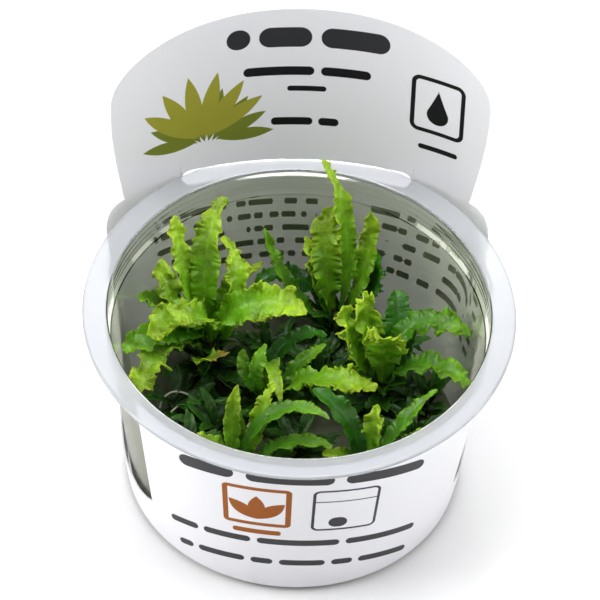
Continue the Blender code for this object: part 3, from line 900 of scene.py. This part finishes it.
def make_leaf_material(name, root, middle, tip, vein, gloss):
    material, add = new_material(name)
    u, along = add("SeparateXYZ", [add("UVMap", uv_map="blade")]).node.outputs[:2]
    from_midrib = add("Math", [add("Math", [u, 0.5], "SUBTRACT")], "ABSOLUTE")
    across = add("Math", [from_midrib, 2], "MULTIPLY")
    patches, cells = grain(add, 260, 3), grain(add, 1500, 2)

    # Towards the tip and the crisped margin the colour turns paler: partly the young blade's own
    # yellow-green, partly painted glow.
    outer = add("MapRange", [along, 0.15, 0.6, 0, 1], **SMOOTH)
    margin = add("Math", [add("Math", [across, 3], "POWER"), outer], "MULTIPLY")
    young = add("MapRange", [along, 0.35, 1, 0, 0.75], **SMOOTH)
    toward_tip = add("Math", [young, add("Math", [margin, 0.7], "MULTIPLY")], "ADD", use_clamp=True)

    rows = add("Math", [along, VEINS_ALONG], "MULTIPLY")
    slant = add("Math", [rows, add("Math", [across, VEIN_SLANT], "MULTIPLY")], "SUBTRACT")
    stripe = add("Math", [add("Math", [add("Math", [slant], "FRACT"), 0.5], "SUBTRACT")], "ABSOLUTE")
    side_vein = add("MapRange", [stripe, 0, 0.1, 1, 0], **SMOOTH)
    midrib = add("MapRange", [across, 0.03, 0.13, 1, 0], **SMOOTH)
    dry_part = add("MapRange", [along, 0.55, 0.85, 0, 1], **SMOOTH)
    dry = add("Attribute", attribute_name="dry", out="Fac")
    colour = layered(
        add, root, (add("MapRange", [along, 0, 0.35, 0, 1], **SMOOTH), middle), (toward_tip, tip),
        (add("Math", [side_vein, 0.05], "MULTIPLY"), vein), (add("Math", [midrib, 0.12], "MULTIPLY"), vein),
        (add("Math", [dry, dry_part], "MULTIPLY"), DRY_TISSUE))

    fresh = add("Attribute", attribute_name="fresh", out="Fac")
    patch_light = add("MapRange", [patches, 0.3, 0.7, 0.44, 0.88], **SMOOTH)
    light = add("Math", [add("Math", [fresh, 0.75], "MULTIPLY"), patch_light], "ADD")
    light = add("Math", [light, add("MapRange", [cells, 0.4, 0.65, 0, 0.16], **SMOOTH)], "ADD")
    height = add("Math", [add("Math", [side_vein, -0.15], "MULTIPLY"), patches], "ADD")
    height = add("Math", [height, add("Math", [cells, 0.45], "MULTIPLY")], "ADD")
    set_surface(add, {
        "Base Color": add("HueSaturation", {"Value": light, "Color": colour}), "Roughness": gloss,
        "IOR": 1.42, "Subsurface Weight": 0.55, "Subsurface Radius": (0.7, 1.0, 0.2),
        "Subsurface Scale": 0.0007}, height, 0.6, 0.00025)
    return material


LEAF_FINISH = {
    "leaf_lime": make_leaf_material("young leaf tissue", "#4F8410", "#66A010", "#B2D232", "#B0CB60", 0.36),
    "leaf_green": make_leaf_material("grown leaf tissue", "#3C6F0C", "#45820E", "#7CB022", "#86AE40", 0.34),
    # The shaded finish's dark greens are partly the old leaves' own colour and partly painted shade.
    "leaf_dark": make_leaf_material("shaded leaf tissue", "#1B4708", "#215C0A", "#3D7F16", "#4E8030", 0.30),
}
# The low leaves' near-black greens are partly their own dark colour and partly painted shade of the crowded
# depths of the cup.
shaded_undergrowth_finish = make_leaf_material("low leaf tissue", "#102E06", "#1A4407", "#376F11", "#42741C", 0.32)

# %% [markdown]
# ## Reading a leaf's course
# Every crown leaf is a CAD node made of rings of four points, so its course needs no second table: it is
# read back from the solid. The mesh is copied and merged. The tip is the one vertex from which the edges
# fan out in rings of exactly four. In each ring the two points half a millimetre apart are the upper and
# lower face at the midrib, and the other two are the margins.

# %% Read the CAD leaves
LEAF_THICKNESS = 0.56 * MM
MERGE_FAN = 0.01 * MM
BLADE_NECK = 0.22


def blade_shape(t):
    """Share of the full half width at a share t of the length: a slender neck, widest past the middle."""
    blade = math.sin(math.pi * t ** 1.15) ** 0.75 if 0 < t < 1 else 0.0
    return max(blade, BLADE_NECK * (1 - t))


def rings_from(vertex):
    """Breadth-first rings of vertices from one vertex."""
    seen = {vertex}
    rings = [[vertex]]
    while rings[-1]:
        after = []
        for v in rings[-1]:
            for edge in v.link_edges:
                other = edge.other_vert(v)
                if other not in seen:
                    seen.add(other)
                    after.append(other)
        rings.append(after)
    return rings[:-1]


def leaf_rings(node):
    """The CAD leaf's rings of four points, root first, and its tip."""
    bm = bmesh.new()
    bm.from_mesh(node.data)
    bmesh.ops.remove_doubles(bm, verts=bm.verts, dist=MERGE_FAN)
    for vertex in bm.verts:
        rings = rings_from(vertex) if len(vertex.link_edges) == 4 else [[]]
        if all(len(ring) == 4 for ring in rings[1:]) and len(rings) > 1:
            found = [[v.co.copy() for v in ring] for ring in reversed(rings[1:])]
            tip = vertex.co.copy()
            bm.free()
            return found, tip
    raise ValueError("no tip found in " + node.name)


def split_ring(ring):
    """The pair whose distance is the leaf's thickness, then the margins."""
    pairs = [((0, 1), (2, 3)), ((0, 2), (1, 3)), ((0, 3), (1, 2))]
    pairs += [(b, a) for a, b in pairs]
    best = min(pairs, key=lambda p: abs((ring[p[0][0]] - ring[p[0][1]]).length - LEAF_THICKNESS))
    return [ring[k] for k in best[0]], [ring[k] for k in best[1]]


def read_course(node, axis):
    """Midrib points with the tip, upward normals, half width and wave height of a CAD leaf."""
    rings, tip = leaf_rings(node)
    middles, normals, margins = [], [], []
    for ring in rings:
        core, edge = split_ring(ring)
        middles.append((core[0] + core[1]) / 2)
        if not normals:
            core.sort(key=lambda p: (p.xy - axis.xy).length)
        normal = (core[0] - core[1]).normalized()
        if normals and normal.dot(normals[-1]) < 0:
            normal = -normal
        normals.append(normal)
        margins.append(edge)
    middles.append(tip)
    normals.append(normals[-1])
    widths, waves = [], []
    for k in range(1, len(rings)):
        along = (middles[k + 1] - middles[k - 1]).normalized()
        side = normals[k].cross(along).normalized()
        edge = sorted(margins[k], key=lambda p: -(p - middles[k]).dot(side))
        span = edge[0] - edge[1]
        widths.append(span.dot(side) / 2 / blade_shape(k / len(rings)))
        waves.append(abs(span.dot(normals[k])) / 2)
    return middles, normals, sum(widths) / len(widths), max(waves)


leaf_nodes = sorted(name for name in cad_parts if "_leaf_" in name)
print("crown leaves to dress:", len(leaf_nodes))

# %% [markdown]
# ## The blade
# One blade is modelled once, as a flat grid with a map, and every leaf is a copy of its mesh laid along
# its own course. Cloth simulation could crisp the edges, but growth does it more simply: a margin that
# grew longer than its midrib has to buckle. So waves are added that are nothing at the midrib and
# strongest at the margin. A long wave comes from the CAD leaf, and a fine one every 2 mm is added. Each
# fine wave also leans to and fro along the edge, which curls its crest over as in the real plant.
# Lobes, blisters and crumples come from smooth noise of their own sizes.

# %% Master blades
CRISP_PITCH = 1.9 * MM
PHASE_SIZE = 3.0 * MM
STRENGTH_SIZE = 2.6 * MM
BUCKLE_SIZE = 2.9 * MM
LOBE_SIZE = 2.2 * MM
FINE_LOBE_SIZE = 0.9 * MM
SWELL_SIZE = 6 * MM
BLISTER_SIZE = 1.1 * MM
CRUMPLE_SIZE = 1.7 * MM
STALK = 0.35 * MM
NARROW = 1.3 * MM
GROOVE = 0.14 * MM
GROOVE_SHARE = 0.16
SHEET_OF_LEAF = 0.24 * MM
LIE_GAP = 0.3 * MM
FOLD = math.radians(15)
TIP_SHARE = 0.996
CLOSE_BY = 0.004
BLADE_FACES = {"crown_blade": (18, 150), "small_blade": (6, 36)}


def make_blade(name):
    """A flat blade: U runs across it and V along it."""
    blade = add_grid(name, *BLADE_FACES[name])
    blade.data.uv_layers[0].name = "blade"
    return blade


crown_blade = make_blade("crown_blade")
small_blade = make_blade("small_blade")

# %% Curves and noise


def smooth_between(points, t):
    """A point at a share t along a smooth curve through evenly spaced points."""
    spans = len(points) - 1
    k = min(int(t * spans), spans - 1)
    f = t * spans - k
    a, b, c, d = (points[min(max(k + step, 0), spans)] for step in (-1, 0, 1, 2))
    if k == 0:
        a = 2 * b - c
    if k == spans - 1:
        d = 2 * c - b
    bend = 2 * b + (c - a) * f + (2 * a - 5 * b + 4 * c - d) * f * f
    return 0.5 * (bend + (3 * b - a - 3 * c + d) * f ** 3)


def wander(a, b, c):
    """Smooth noise between about -1 and 1. The second and third number only tell noises apart."""
    return noise.noise(Vector((a, b, c)))


def drift(spot):
    """Three independent noises as one vector."""
    return Vector([noise.noise(spot + Vector((31.7 * k, 9.3 * k, 5.1 * k))) for k in range(3)])


def margin_noises(length, seed, hand):
    """At a length along a margin: the fine wave's phase and strength, the buckle and the lobes."""
    turns = math.tau * length / CRISP_PITCH
    phase = turns + 8.0 * wander(length / PHASE_SIZE, seed * 3.7, hand * 5.1) + 1.7 * hand + seed
    strength = 0.85 + 1.9 * wander(length / STRENGTH_SIZE, seed * 1.9, hand * 2.3 + 8)
    buckle = wander(length / BUCKLE_SIZE, seed * 1.3, 11 + hand)
    lobe = wander(length / LOBE_SIZE, seed * 2.1, 3.3 + hand)
    lobe += 0.6 * wander(length / FINE_LOBE_SIZE, seed * 2.9, 5.3 + hand)
    return phase, max(strength, 0.0), buckle, lobe


def blade_axes(middles, normals, t, seed):
    """The midrib point at a share t, and the directions across, along and out of the blade there."""
    ahead = smooth_between(middles, min(t + CLOSE_BY, 1.0))
    behind = smooth_between(middles, max(t - CLOSE_BY, 0.0))
    along = (ahead - behind).normalized()
    side = smooth_between(normals, t).cross(along).normalized()
    side = Matrix.Rotation(0.5 * wander(t * 3, seed, 6) * t, 3, along) @ side
    return smooth_between(middles, t), side, along, along.cross(side)


def kept_in_cup(point):
    """A leaf that meets the wall or the gel lies against it."""
    point.z = max(point.z, GEL_TOP + LIE_GAP)
    limit = (wall_inside(point.z) if point.z < LEDGE_HEIGHT else NECK_INSIDE) - LIE_GAP
    reach = math.hypot(point.x, point.y)
    if point.z < CUP_HEIGHT and reach > limit:
        point.x *= limit / reach
        point.y *= limit / reach
    return point


# %% [markdown]
# The rows of a laid blade stand closer towards the tip, and its columns towards the margins. A look says
# in metres how strongly the blade is crisped, buckled, blistered and crumpled. The blade folds up a
# little from its midrib, which lies in a shallow groove.

# %% Lay a blade


def lay_blade(blade, course, look, seed):
    """A copy of the blade's mesh, laid along a course of midrib points and normals."""
    middles, normals, half_width, wave = course
    columns, rows = BLADE_FACES[blade.name]
    mesh = blade.data.copy()
    total = sum((b - a).length for a, b in zip(middles, middles[1:]))
    blunt = 0.75 + 0.3 * wander(seed * 5.3, 1.7, 0)
    for row in range(rows + 1):
        t = TIP_SHARE * (1 - (1 - row / rows) ** 1.25)
        length = t * total
        middle, side, along, normal = blade_axes(middles, normals, t, seed)
        stalk = STALK / half_width * max(0.0, 1 - t / 0.08)
        reach = half_width * max(blade_shape(t) ** (blunt if t > 0.5 else 1), stalk)
        swell = max(min(t / 0.25, (1 - t) / 0.12, 1.0), 0.0)
        swell *= 0.8 + 0.8 * wander(length / SWELL_SIZE, seed, 2)
        long_wave = wave * swell * math.cos(math.pi * t * (len(middles) - 1))
        grow = smooth_step(0.06, 0.45, t) * (1 - smooth_step(0.97, 1.0, t) * 0.5)
        grow *= min(1.0, reach / NARROW)
        margins = {hand: margin_noises(length, seed, hand) for hand in (-1, 1)}
        for column in range(columns + 1):
            s = math.sin(math.pi / 2 * (2 * column / columns - 1))
            rim = abs(s)
            phase, strength, buckle, lobe = margins[-1 if s < 0 else 1]
            edge = rim ** 4 * look["crisp"] * grow * strength
            out = s * reach * math.cos(FOLD) * (1 + 0.26 * rim * lobe)
            out += math.copysign(0.5 * edge * math.cos(2 * phase), s)
            lift = reach * math.sin(FOLD) * rim ** 1.3 + math.copysign(rim ** 1.4, s) * long_wave
            lift += edge * math.sin(phase) + rim ** 2.2 * look["buckle"] * grow * buckle
            lift -= GROOVE * math.exp(-(s / GROOVE_SHARE) ** 2) * (1 - t)
            spot = Vector((s * reach, length, seed * MM))
            blister = look["blister"] * noise.noise(spot / BLISTER_SIZE)
            lift += blister * rim ** 1.5 * smooth_step(0.05, 0.4, t)
            slip = 0.6 * edge * math.sin(2 * phase)
            crumple = drift(spot / CRUMPLE_SIZE) * look["crumple"] * (0.25 + 0.75 * rim * rim)
            point = middle + side * out + normal * lift + along * slip
            point += crumple * smooth_step(0.3, 0.8, t)
            mesh.vertices[row * (columns + 1) + column].co = kept_in_cup(point)
    return mesh


# %% [markdown]
# A dressed leaf stands for its CAD node: the node is hidden and the piece rides on the same body. The
# CAD wave height says how crisped the leaf is, so the ruffled crowns and the smooth strap leaves near
# the front both come out right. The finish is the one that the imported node's material is named for.

# %% Dress the crown leaves
PLANTLETS = ("left", "back", "right", "middle", "front_left", "front_right")
DRY_LEAF = "left_leaf_12"
STEM_END = 0.02 * MM


def set_value(mesh, name, value):
    """Write one attribute value for the whole leaf."""
    for item in mesh.attributes.new(name, "FLOAT", "POINT").data:
        item.value = value


def add_piece(name, mesh, material):
    """An object for a mesh, with one material."""
    mesh.materials.clear()
    mesh.materials.append(material)
    piece = bpy.data.objects.new(name, mesh)
    bpy.context.scene.collection.objects.link(piece)
    return piece


def smooth_all(piece):
    for face in piece.data.polygons:
        face.use_smooth = True


def crown_axis(name):
    """The middle of the stem's top, which the crown's leaves grow from."""
    points = [v.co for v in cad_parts[name + "_stem"].data.vertices]
    top = max(p.z for p in points)
    high = [p for p in points if p.z > top - STEM_END]
    return sum(high, Vector()) / len(high)


def cad_tone(node):
    """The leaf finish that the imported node's material is named for."""
    names = " ".join(material.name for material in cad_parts[node].data.materials)
    return next((tone for tone in LEAF_FINISH if tone in names), "leaf_green")


def crown_look(frill):
    """How a crown leaf is crisped, from its CAD wave height in millimetres."""
    return {"crisp": min(0.12 + 0.75 * frill ** 1.2, 0.9) * MM, "buckle": min(1.5 * frill, 1.5) * MM,
            "blister": 0.36 * MM * min(frill, 1) ** 1.5, "crumple": min(1.6 * frill ** 1.5, 1.5) * MM}


crowns = {name: crown_axis(name) for name in PLANTLETS}
leaf_pieces = []
for number, node in enumerate(leaf_nodes):
    course = read_course(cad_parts[node], crowns[node.split("_leaf_")[0]])
    mesh = lay_blade(crown_blade, course, crown_look(course[3] / MM), number + 1)
    set_value(mesh, "fresh", random.Random(number).uniform(0.05, 0.6))
    if node == DRY_LEAF:
        set_value(mesh, "dry", 1.0)
    tone = cad_tone(node)
    piece = add_piece(node + "_blade", mesh, LEAF_FINISH[tone])
    thicken(piece, SHEET_OF_LEAF, 0)
    smooth_all(piece)
    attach(piece, "root")
    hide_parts(node)
    leaf_pieces.append(piece)
print("leaves: %d pieces, %d faces each" % (len(leaf_pieces), len(leaf_pieces[0].data.polygons)))

# %% [markdown]
# ## Tufts and young shoots
# Below each crown, and between the plantlets, small leaves crowd round short stems. In the picture they
# are the dark mass in the middle of the cup. Each tuft is a CAD solid with six or so leaves. Here its
# leaves are laid again with more rows of faces, and younger leaves fill the gaps between them, never
# reaching past the solid's own tips. A few spots are kept bare, each an x, a y and a radius in
# millimetres. Thin dry roots lie between two of the tufts, as points in millimetres.

# %% Tuft sizes
STEM_FOOT = GEL_TOP + 0.3 * MM
TUFT_WIDTH_SHARE = 0.21
TUFT_DROOP = 40
TUFT_SWEEP = 15
TUFT_WAVE = 0.3 * MM
UPPER_RISE = 18
UPPER_SHORTER = 0.12
RANK_STEP = 1.2
TUFT_DROP = 0.6
COURSE_SPANS = 3
STEPS_IN_SPAN = 8
UPPER_SPACING = 0.9
SPIRAL = 137.5
BARE_SPOTS = ((-33, 8, 6.5), (-32, 2, 6.0), (32, 9, 4.5), (33, 4, 4.0))
ROOT_RADIUS = 0.22 * MM
ROOTS = {
    "young_shoot_1": (
        ((-31.9, 2.2, 14.4), (-31.6, 3.8, 17.6), (-29.4, 5.4, 17.8), (-27.0, 5.3, 17.6), (-24.6, 4.3, 16.6)),
        ((-29.2, -0.5, 16.2), (-27.6, 1.1, 17.2), (-25.6, 2.9, 16.8))),
    "middle_stem": (((-11.0, -4.2, 16.6), (-9.0, -1.0, 18.6), (-6.2, 1.2, 17.6), (-4.4, 1.6, 16.8)),),
}

# Each row: node, x and y of the stem, top of the stem, radius, then the tuft's top, count, first
# heading, length and rise. Lengths are millimetres and angles degrees.
TUFTS = [
    ("left_stem", -21, 16, 25, 0.95, 15.5, 7, 359, 14.1, 39),
    ("back_stem", 9, 27, 23, 0.95, 16.2, 6, 353, 13.5, 38),
    ("right_stem", 20.5, 8.5, 22, 0.95, 15.4, 7, 13, 12.7, 33),
    ("middle_stem", -7, 5, 19, 0.95, 13, 6, 53, 12.9, 36),
    ("front_left_stem", -12, -17, 15, 0.95, 12.6, 4, 337, 8.5, 13),
    ("front_right_stem", 17, -15, 15, 0.95, 12.6, 5, 345, 8, 13),
    ("young_shoot_1", -29, 3, 15, 0.8, 15, 6, 20, 12, 40),
    ("young_shoot_2", -18.2, -3.2, 14.9, 0.8, 14.9, 6, 54, 12.1, 44),
    ("young_shoot_3", -25, -13.3, 15.2, 0.8, 15.2, 6, 78, 12.3, 45),
    ("young_shoot_4", 1, -8, 15, 0.8, 15, 6, 0, 12, 45),
    ("young_shoot_5", 28, -4, 15, 0.8, 15, 6, 30, 12, 45),
    ("young_shoot_6", 31, 7.9, 15, 0.8, 15, 6, 59, 12, 57),
    ("young_shoot_7", 5, 14, 15, 0.8, 15, 6, 20, 12, 50),
    ("young_shoot_8", -7, 21, 15, 0.8, 15, 6, 45, 12, 50),
    ("young_shoot_9", 21.5, 24.1, 14.8, 0.8, 14.8, 6, 350, 12.8, 53),
]

# %% [markdown]
# A small leaf's course is stepped along its own curve, as the CAD leaves' were: its heading sweeps
# sideways and its climb droops as it goes.

# %% Courses of the small leaves


def grown_course(root, heading, sweep, rise, droop, length, half_width, wave):
    """Midrib points and normals of a leaf, with its half width and wave height."""
    steps = STEPS_IN_SPAN * COURSE_SPANS

    def directions(t):
        h = math.radians(heading + sweep * t)
        climb = math.radians(rise - droop * t)
        along = Vector((math.cos(h) * math.cos(climb), math.sin(h) * math.cos(climb), math.sin(climb)))
        return along, Vector((-math.sin(h), math.cos(h), 0))

    point = root.copy()
    middles, normals = [], []
    for k in range(steps + 1):
        if k % STEPS_IN_SPAN == 0:
            along, side = directions(k / steps)
            middles.append(point.copy())
            normals.append(along.cross(side))
        point += directions((k + 0.5) / steps)[0] * (length / steps)
    return middles, normals, half_width, wave


def tuft_courses(x, y, top, count, heading, length, rise):
    """The CAD leaves of a tuft, in two ranks by turns."""
    courses = []
    for k in range(count):
        upper = k % 2
        courses.append(grown_course(
            Vector((x, y, top - TUFT_DROP - RANK_STEP * (1 - upper))) * MM, heading + 360 * k / count,
            TUFT_SWEEP, rise + UPPER_RISE * upper, TUFT_DROOP, length * (1 - UPPER_SHORTER * upper) * MM,
            TUFT_WIDTH_SHARE * length * MM / 2, TUFT_WAVE))
    return courses


def filler_courses(rng, x, y, top, count, heading, length, rise):
    """Narrow leaves at all heights of the stem, no longer than the CAD leaves, that arch every way."""
    courses = []
    for k in range(4 * count):
        angle = heading + 90 * (k + rng.uniform(0, 1)) / count
        drop = rng.uniform(0.2, max(top - STEM_FOOT / MM - 0.4, 0.5))
        course = grown_course(
            Vector((x, y, top - drop)) * MM, angle,
            sweep=rng.uniform(-80, 80), rise=rng.uniform(5, rise + 30), droop=rng.uniform(10, 100),
            length=length * rng.uniform(0.55, 1.0) * MM,
            half_width=rng.uniform(0.06, 0.12) * length * MM, wave=rng.uniform(0.2, 0.6) * MM)
        tip = course[0][-1].xy
        if all((tip - Vector(spot[:2]) * MM).length > spot[2] * MM for spot in BARE_SPOTS):
            courses.append(course)
    return courses


def upper_courses(rng, x, y, low, high):
    """Short leaves between a plantlet's tuft and its crown, in a spiral."""
    courses = []
    count = int((high - low) / UPPER_SPACING)
    for k in range(count):
        root = Vector((x, y, low + (high - low) * (k + 0.5) / count - 1)) * MM
        courses.append(grown_course(
            root, SPIRAL * k + rng.uniform(-20, 20),
            sweep=rng.uniform(-50, 50), rise=rng.uniform(25, 75), droop=rng.uniform(10, 80),
            length=rng.uniform(7.5, 12) * MM, half_width=rng.uniform(0.8, 1.5) * MM,
            wave=rng.uniform(0.2, 0.5) * MM))
    return courses


# %% [markdown]
# The stem is a circle extruded up and slightly waisted between its joints, where leaves once grew. Its
# skin is brown mottled with green, in patches of 2 mm. A dry root is pale, a little silvery, and catches
# the light on top.

# %% Stems
STEM_SIDES = 14
STEM_RINGS = 8
RINGS_TO_JOINT = 4
STEM_TAPER = 0.1
STEM_WAIST = 0.86


def make_stem(name, x, y, top, radius):
    """A short stem with swollen joints, from the gel up."""
    stem = filled_circle(name, STEM_SIDES, radius, (x, y, STEM_FOOT))
    rise = (top - STEM_FOOT) / STEM_RINGS
    size = 1.0
    for k in range(1, STEM_RINGS + 1):
        wanted = (1 - STEM_TAPER * k / STEM_RINGS) * (1.0 if k % RINGS_TO_JOINT == 0 else STEM_WAIST)
        extrude_face(rise, wanted / size, (x, y, STEM_FOOT + rise * k))
        size = wanted
    leave_facing_out()
    drop_maps(stem.data)
    return stem


def make_stem_material():
    material, add = new_material("stem skin")
    mottle = grain(add, 500, 3)
    green = add("MapRange", [mottle, 0.35, 0.65, 0, 1], **SMOOTH)
    set_surface(add, {
        "Base Color": layered(add, "#43301C", (green, "#5E6A2A")), "Roughness": 0.45, "IOR": 1.42,
        "Subsurface Weight": 0.3, "Subsurface Radius": (0.7, 1.0, 0.2), "Subsurface Scale": 0.0006},
        mottle, 0.4, 0.0003)
    return material


def make_root_material():
    material, add = new_material("dry root skin")
    set_surface(add, {"Base Color": linear("#C9CCBB"), "Roughness": 0.3, "Subsurface Weight": 0.3,
                      "Subsurface Scale": 0.0005})
    return material


stem_skin = make_stem_material()
root_skin = make_root_material()

# %% Roots and tufts


def make_root(points):
    """A path through the points, given a round section and turned to a mesh."""
    select_only()
    bpy.ops.curve.primitive_nurbs_path_add(location=(0, 0, 0))
    root = bpy.context.active_object
    spline = root.data.splines[0]
    spline.points.add(max(len(points) - len(spline.points), 0))
    places = [points[min(k, len(points) - 1)] for k in range(len(spline.points))]
    for item, place in zip(spline.points, places):
        item.co = (*[c * MM for c in place], 1)
    root.data.bevel_depth = ROOT_RADIUS
    root.data.bevel_resolution = 3
    root.data.use_fill_caps = True
    bpy.ops.object.convert(target="MESH")
    root = bpy.context.active_object
    root.data.materials.clear()
    root.data.materials.append(root_skin)
    drop_maps(root.data)
    return root


def make_tuft(node, x, y, stem_top, radius, top, count, heading, length, rise):
    """A stem with its ring of small leaves and the younger ones between them, as one piece."""
    rng = random.Random(node)
    courses = tuft_courses(x, y, top, count, heading, length, rise)
    courses += filler_courses(rng, x, y, top, count, heading, length, rise)
    courses += upper_courses(rng, x, y, top, stem_top)
    blades = []
    for k, course in enumerate(courses):
        look = {"crisp": rng.uniform(0.12, 0.35) * MM, "buckle": rng.uniform(0.3, 0.9) * MM,
                "blister": 0.15 * MM, "crumple": rng.uniform(0.0, 0.5) * MM}
        mesh = lay_blade(small_blade, course, look, rng.uniform(0, 50))
        set_value(mesh, "fresh", rng.uniform(0.0, 0.6) if k < count else rng.uniform(-0.4, 0.5))
        blades.append(add_piece("tuft_blade", mesh, shaded_undergrowth_finish))
    tuft = join(blades, node + "_leaves")
    thicken(tuft, SHEET_OF_LEAF, 0)
    stem = make_stem(node + "_shaft", x * MM, y * MM, stem_top * MM, radius * MM)
    stem.data.materials.append(stem_skin)
    stem.data.attributes.new("fresh", "FLOAT", "POINT")
    piece = join([tuft, stem] + [make_root(points) for points in ROOTS.get(node, ())], node + "_tuft")
    smooth_all(piece)
    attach(piece, "root")
    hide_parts(node)
    return piece


tufts = [make_tuft(*row) for row in TUFTS]
print("tufts:", len(tufts), "faces in all:", sum(len(t.data.polygons) for t in tufts))

# %% Put the master blades away
for blade in (crown_blade, small_blade):
    bpy.data.objects.remove(blade, do_unlink=True)

# %% [markdown]
# ## Floor and light
# The picture has a pure white ground and even light from all round. A pale paper floor, a bright pale
# world and three large soft lights do that. One narrow light behind and above is there for the rim: its
# reflection is the bright band on the back of the flat rim.

# %% Floor
FLOOR_SIZE = 6.0


def make_floor():
    select_only()
    bpy.ops.mesh.primitive_grid_add(x_subdivisions=4, y_subdivisions=4, size=FLOOR_SIZE)
    floor = bpy.context.active_object
    floor.name = "studio_floor"
    material, add = new_material("pale studio paper")
    set_surface(add, {"Base Color": linear("#FBFBFB"), "Roughness": 0.9}, grain(add, 300, 2), 0.05, 0.0005)
    floor.data.materials.append(material)
    return floor


floor = make_floor()

# %% [markdown]
# The world is a white surround that is dimmer above the camera and behind the cup, where a studio has
# no wall. Each light is given its name, place, target, size and power.

# %% Lights
SKY_STRENGTH = 0.8
SKY_DIM = 0.18
BACK_SHARE = 0.35
DIM_SIDE = (0.0, -0.77, 0.64)
LIGHTS = (
    ("rim_band", (0.0, 0.80, 0.82), (0, 0, 0.05), (0.15, 0.13), 1.5),
    ("top_soft", (0.0, 0.10, 1.5), (0, 0, 0.03), (1.0, 1.0), 13),
    ("left_soft", (-1.3, -0.10, 0.70), (0, 0, 0.05), (0.9, 0.9), 16),
    ("right_soft", (1.3, -0.10, 0.70), (0, 0, 0.05), (0.9, 0.9), 8))


def area_light(name, place, target, size, power):
    """A soft rectangular light that looks at a point."""
    data = bpy.data.lights.new(name, "AREA")
    data.shape = "RECTANGLE"
    data.size, data.size_y = size
    data.energy = power
    light = bpy.data.objects.new(name, data)
    bpy.context.scene.collection.objects.link(light)
    look = (Vector(target) - Vector(place)).to_track_quat("-Z", "Y")
    light.matrix_world = Matrix.Translation(Vector(place)) @ look.to_matrix().to_4x4()


def make_sky():
    world = bpy.data.worlds.new("pale sky")
    bpy.context.scene.world = world
    world.use_nodes = True
    add = partial(add_node, world.node_tree)
    direction = add("TexCoord", out="Generated")
    toward = add("VectorMath", [direction, DIM_SIDE], "DOT_PRODUCT", out="Value")
    above_camera = add("MapRange", [toward, 0.1, 0.9, SKY_STRENGTH, SKY_DIM], **SMOOTH)
    behind = add("MapRange", [add("SeparateXYZ", [direction], out=1), 0, 0.8, 1, BACK_SHARE], **SMOOTH)
    strength = add("Math", [above_camera, behind], "MULTIPLY")
    background = world.node_tree.nodes["Background"]
    background.inputs["Color"].default_value = linear("#FFFFFF")
    world.node_tree.links.new(strength, background.inputs["Strength"])


make_sky()
for light in LIGHTS:
    area_light(*light)
bpy.context.scene.view_settings.view_transform = "Standard"

# %% [markdown]
# ## Each piece rides on the root, and its CAD node is hidden
# The cup, gel and sleeve each stand for one CAD node.

# %% Rides
for piece, node, slot in (
        (cup, "cup", "clear_cup_plastic"),
        (gel, "gel", "nutrient_gel"),
        (sleeve, "sleeve", "printed_sleeve_sheet")):
    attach(piece, "root")
    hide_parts(node)
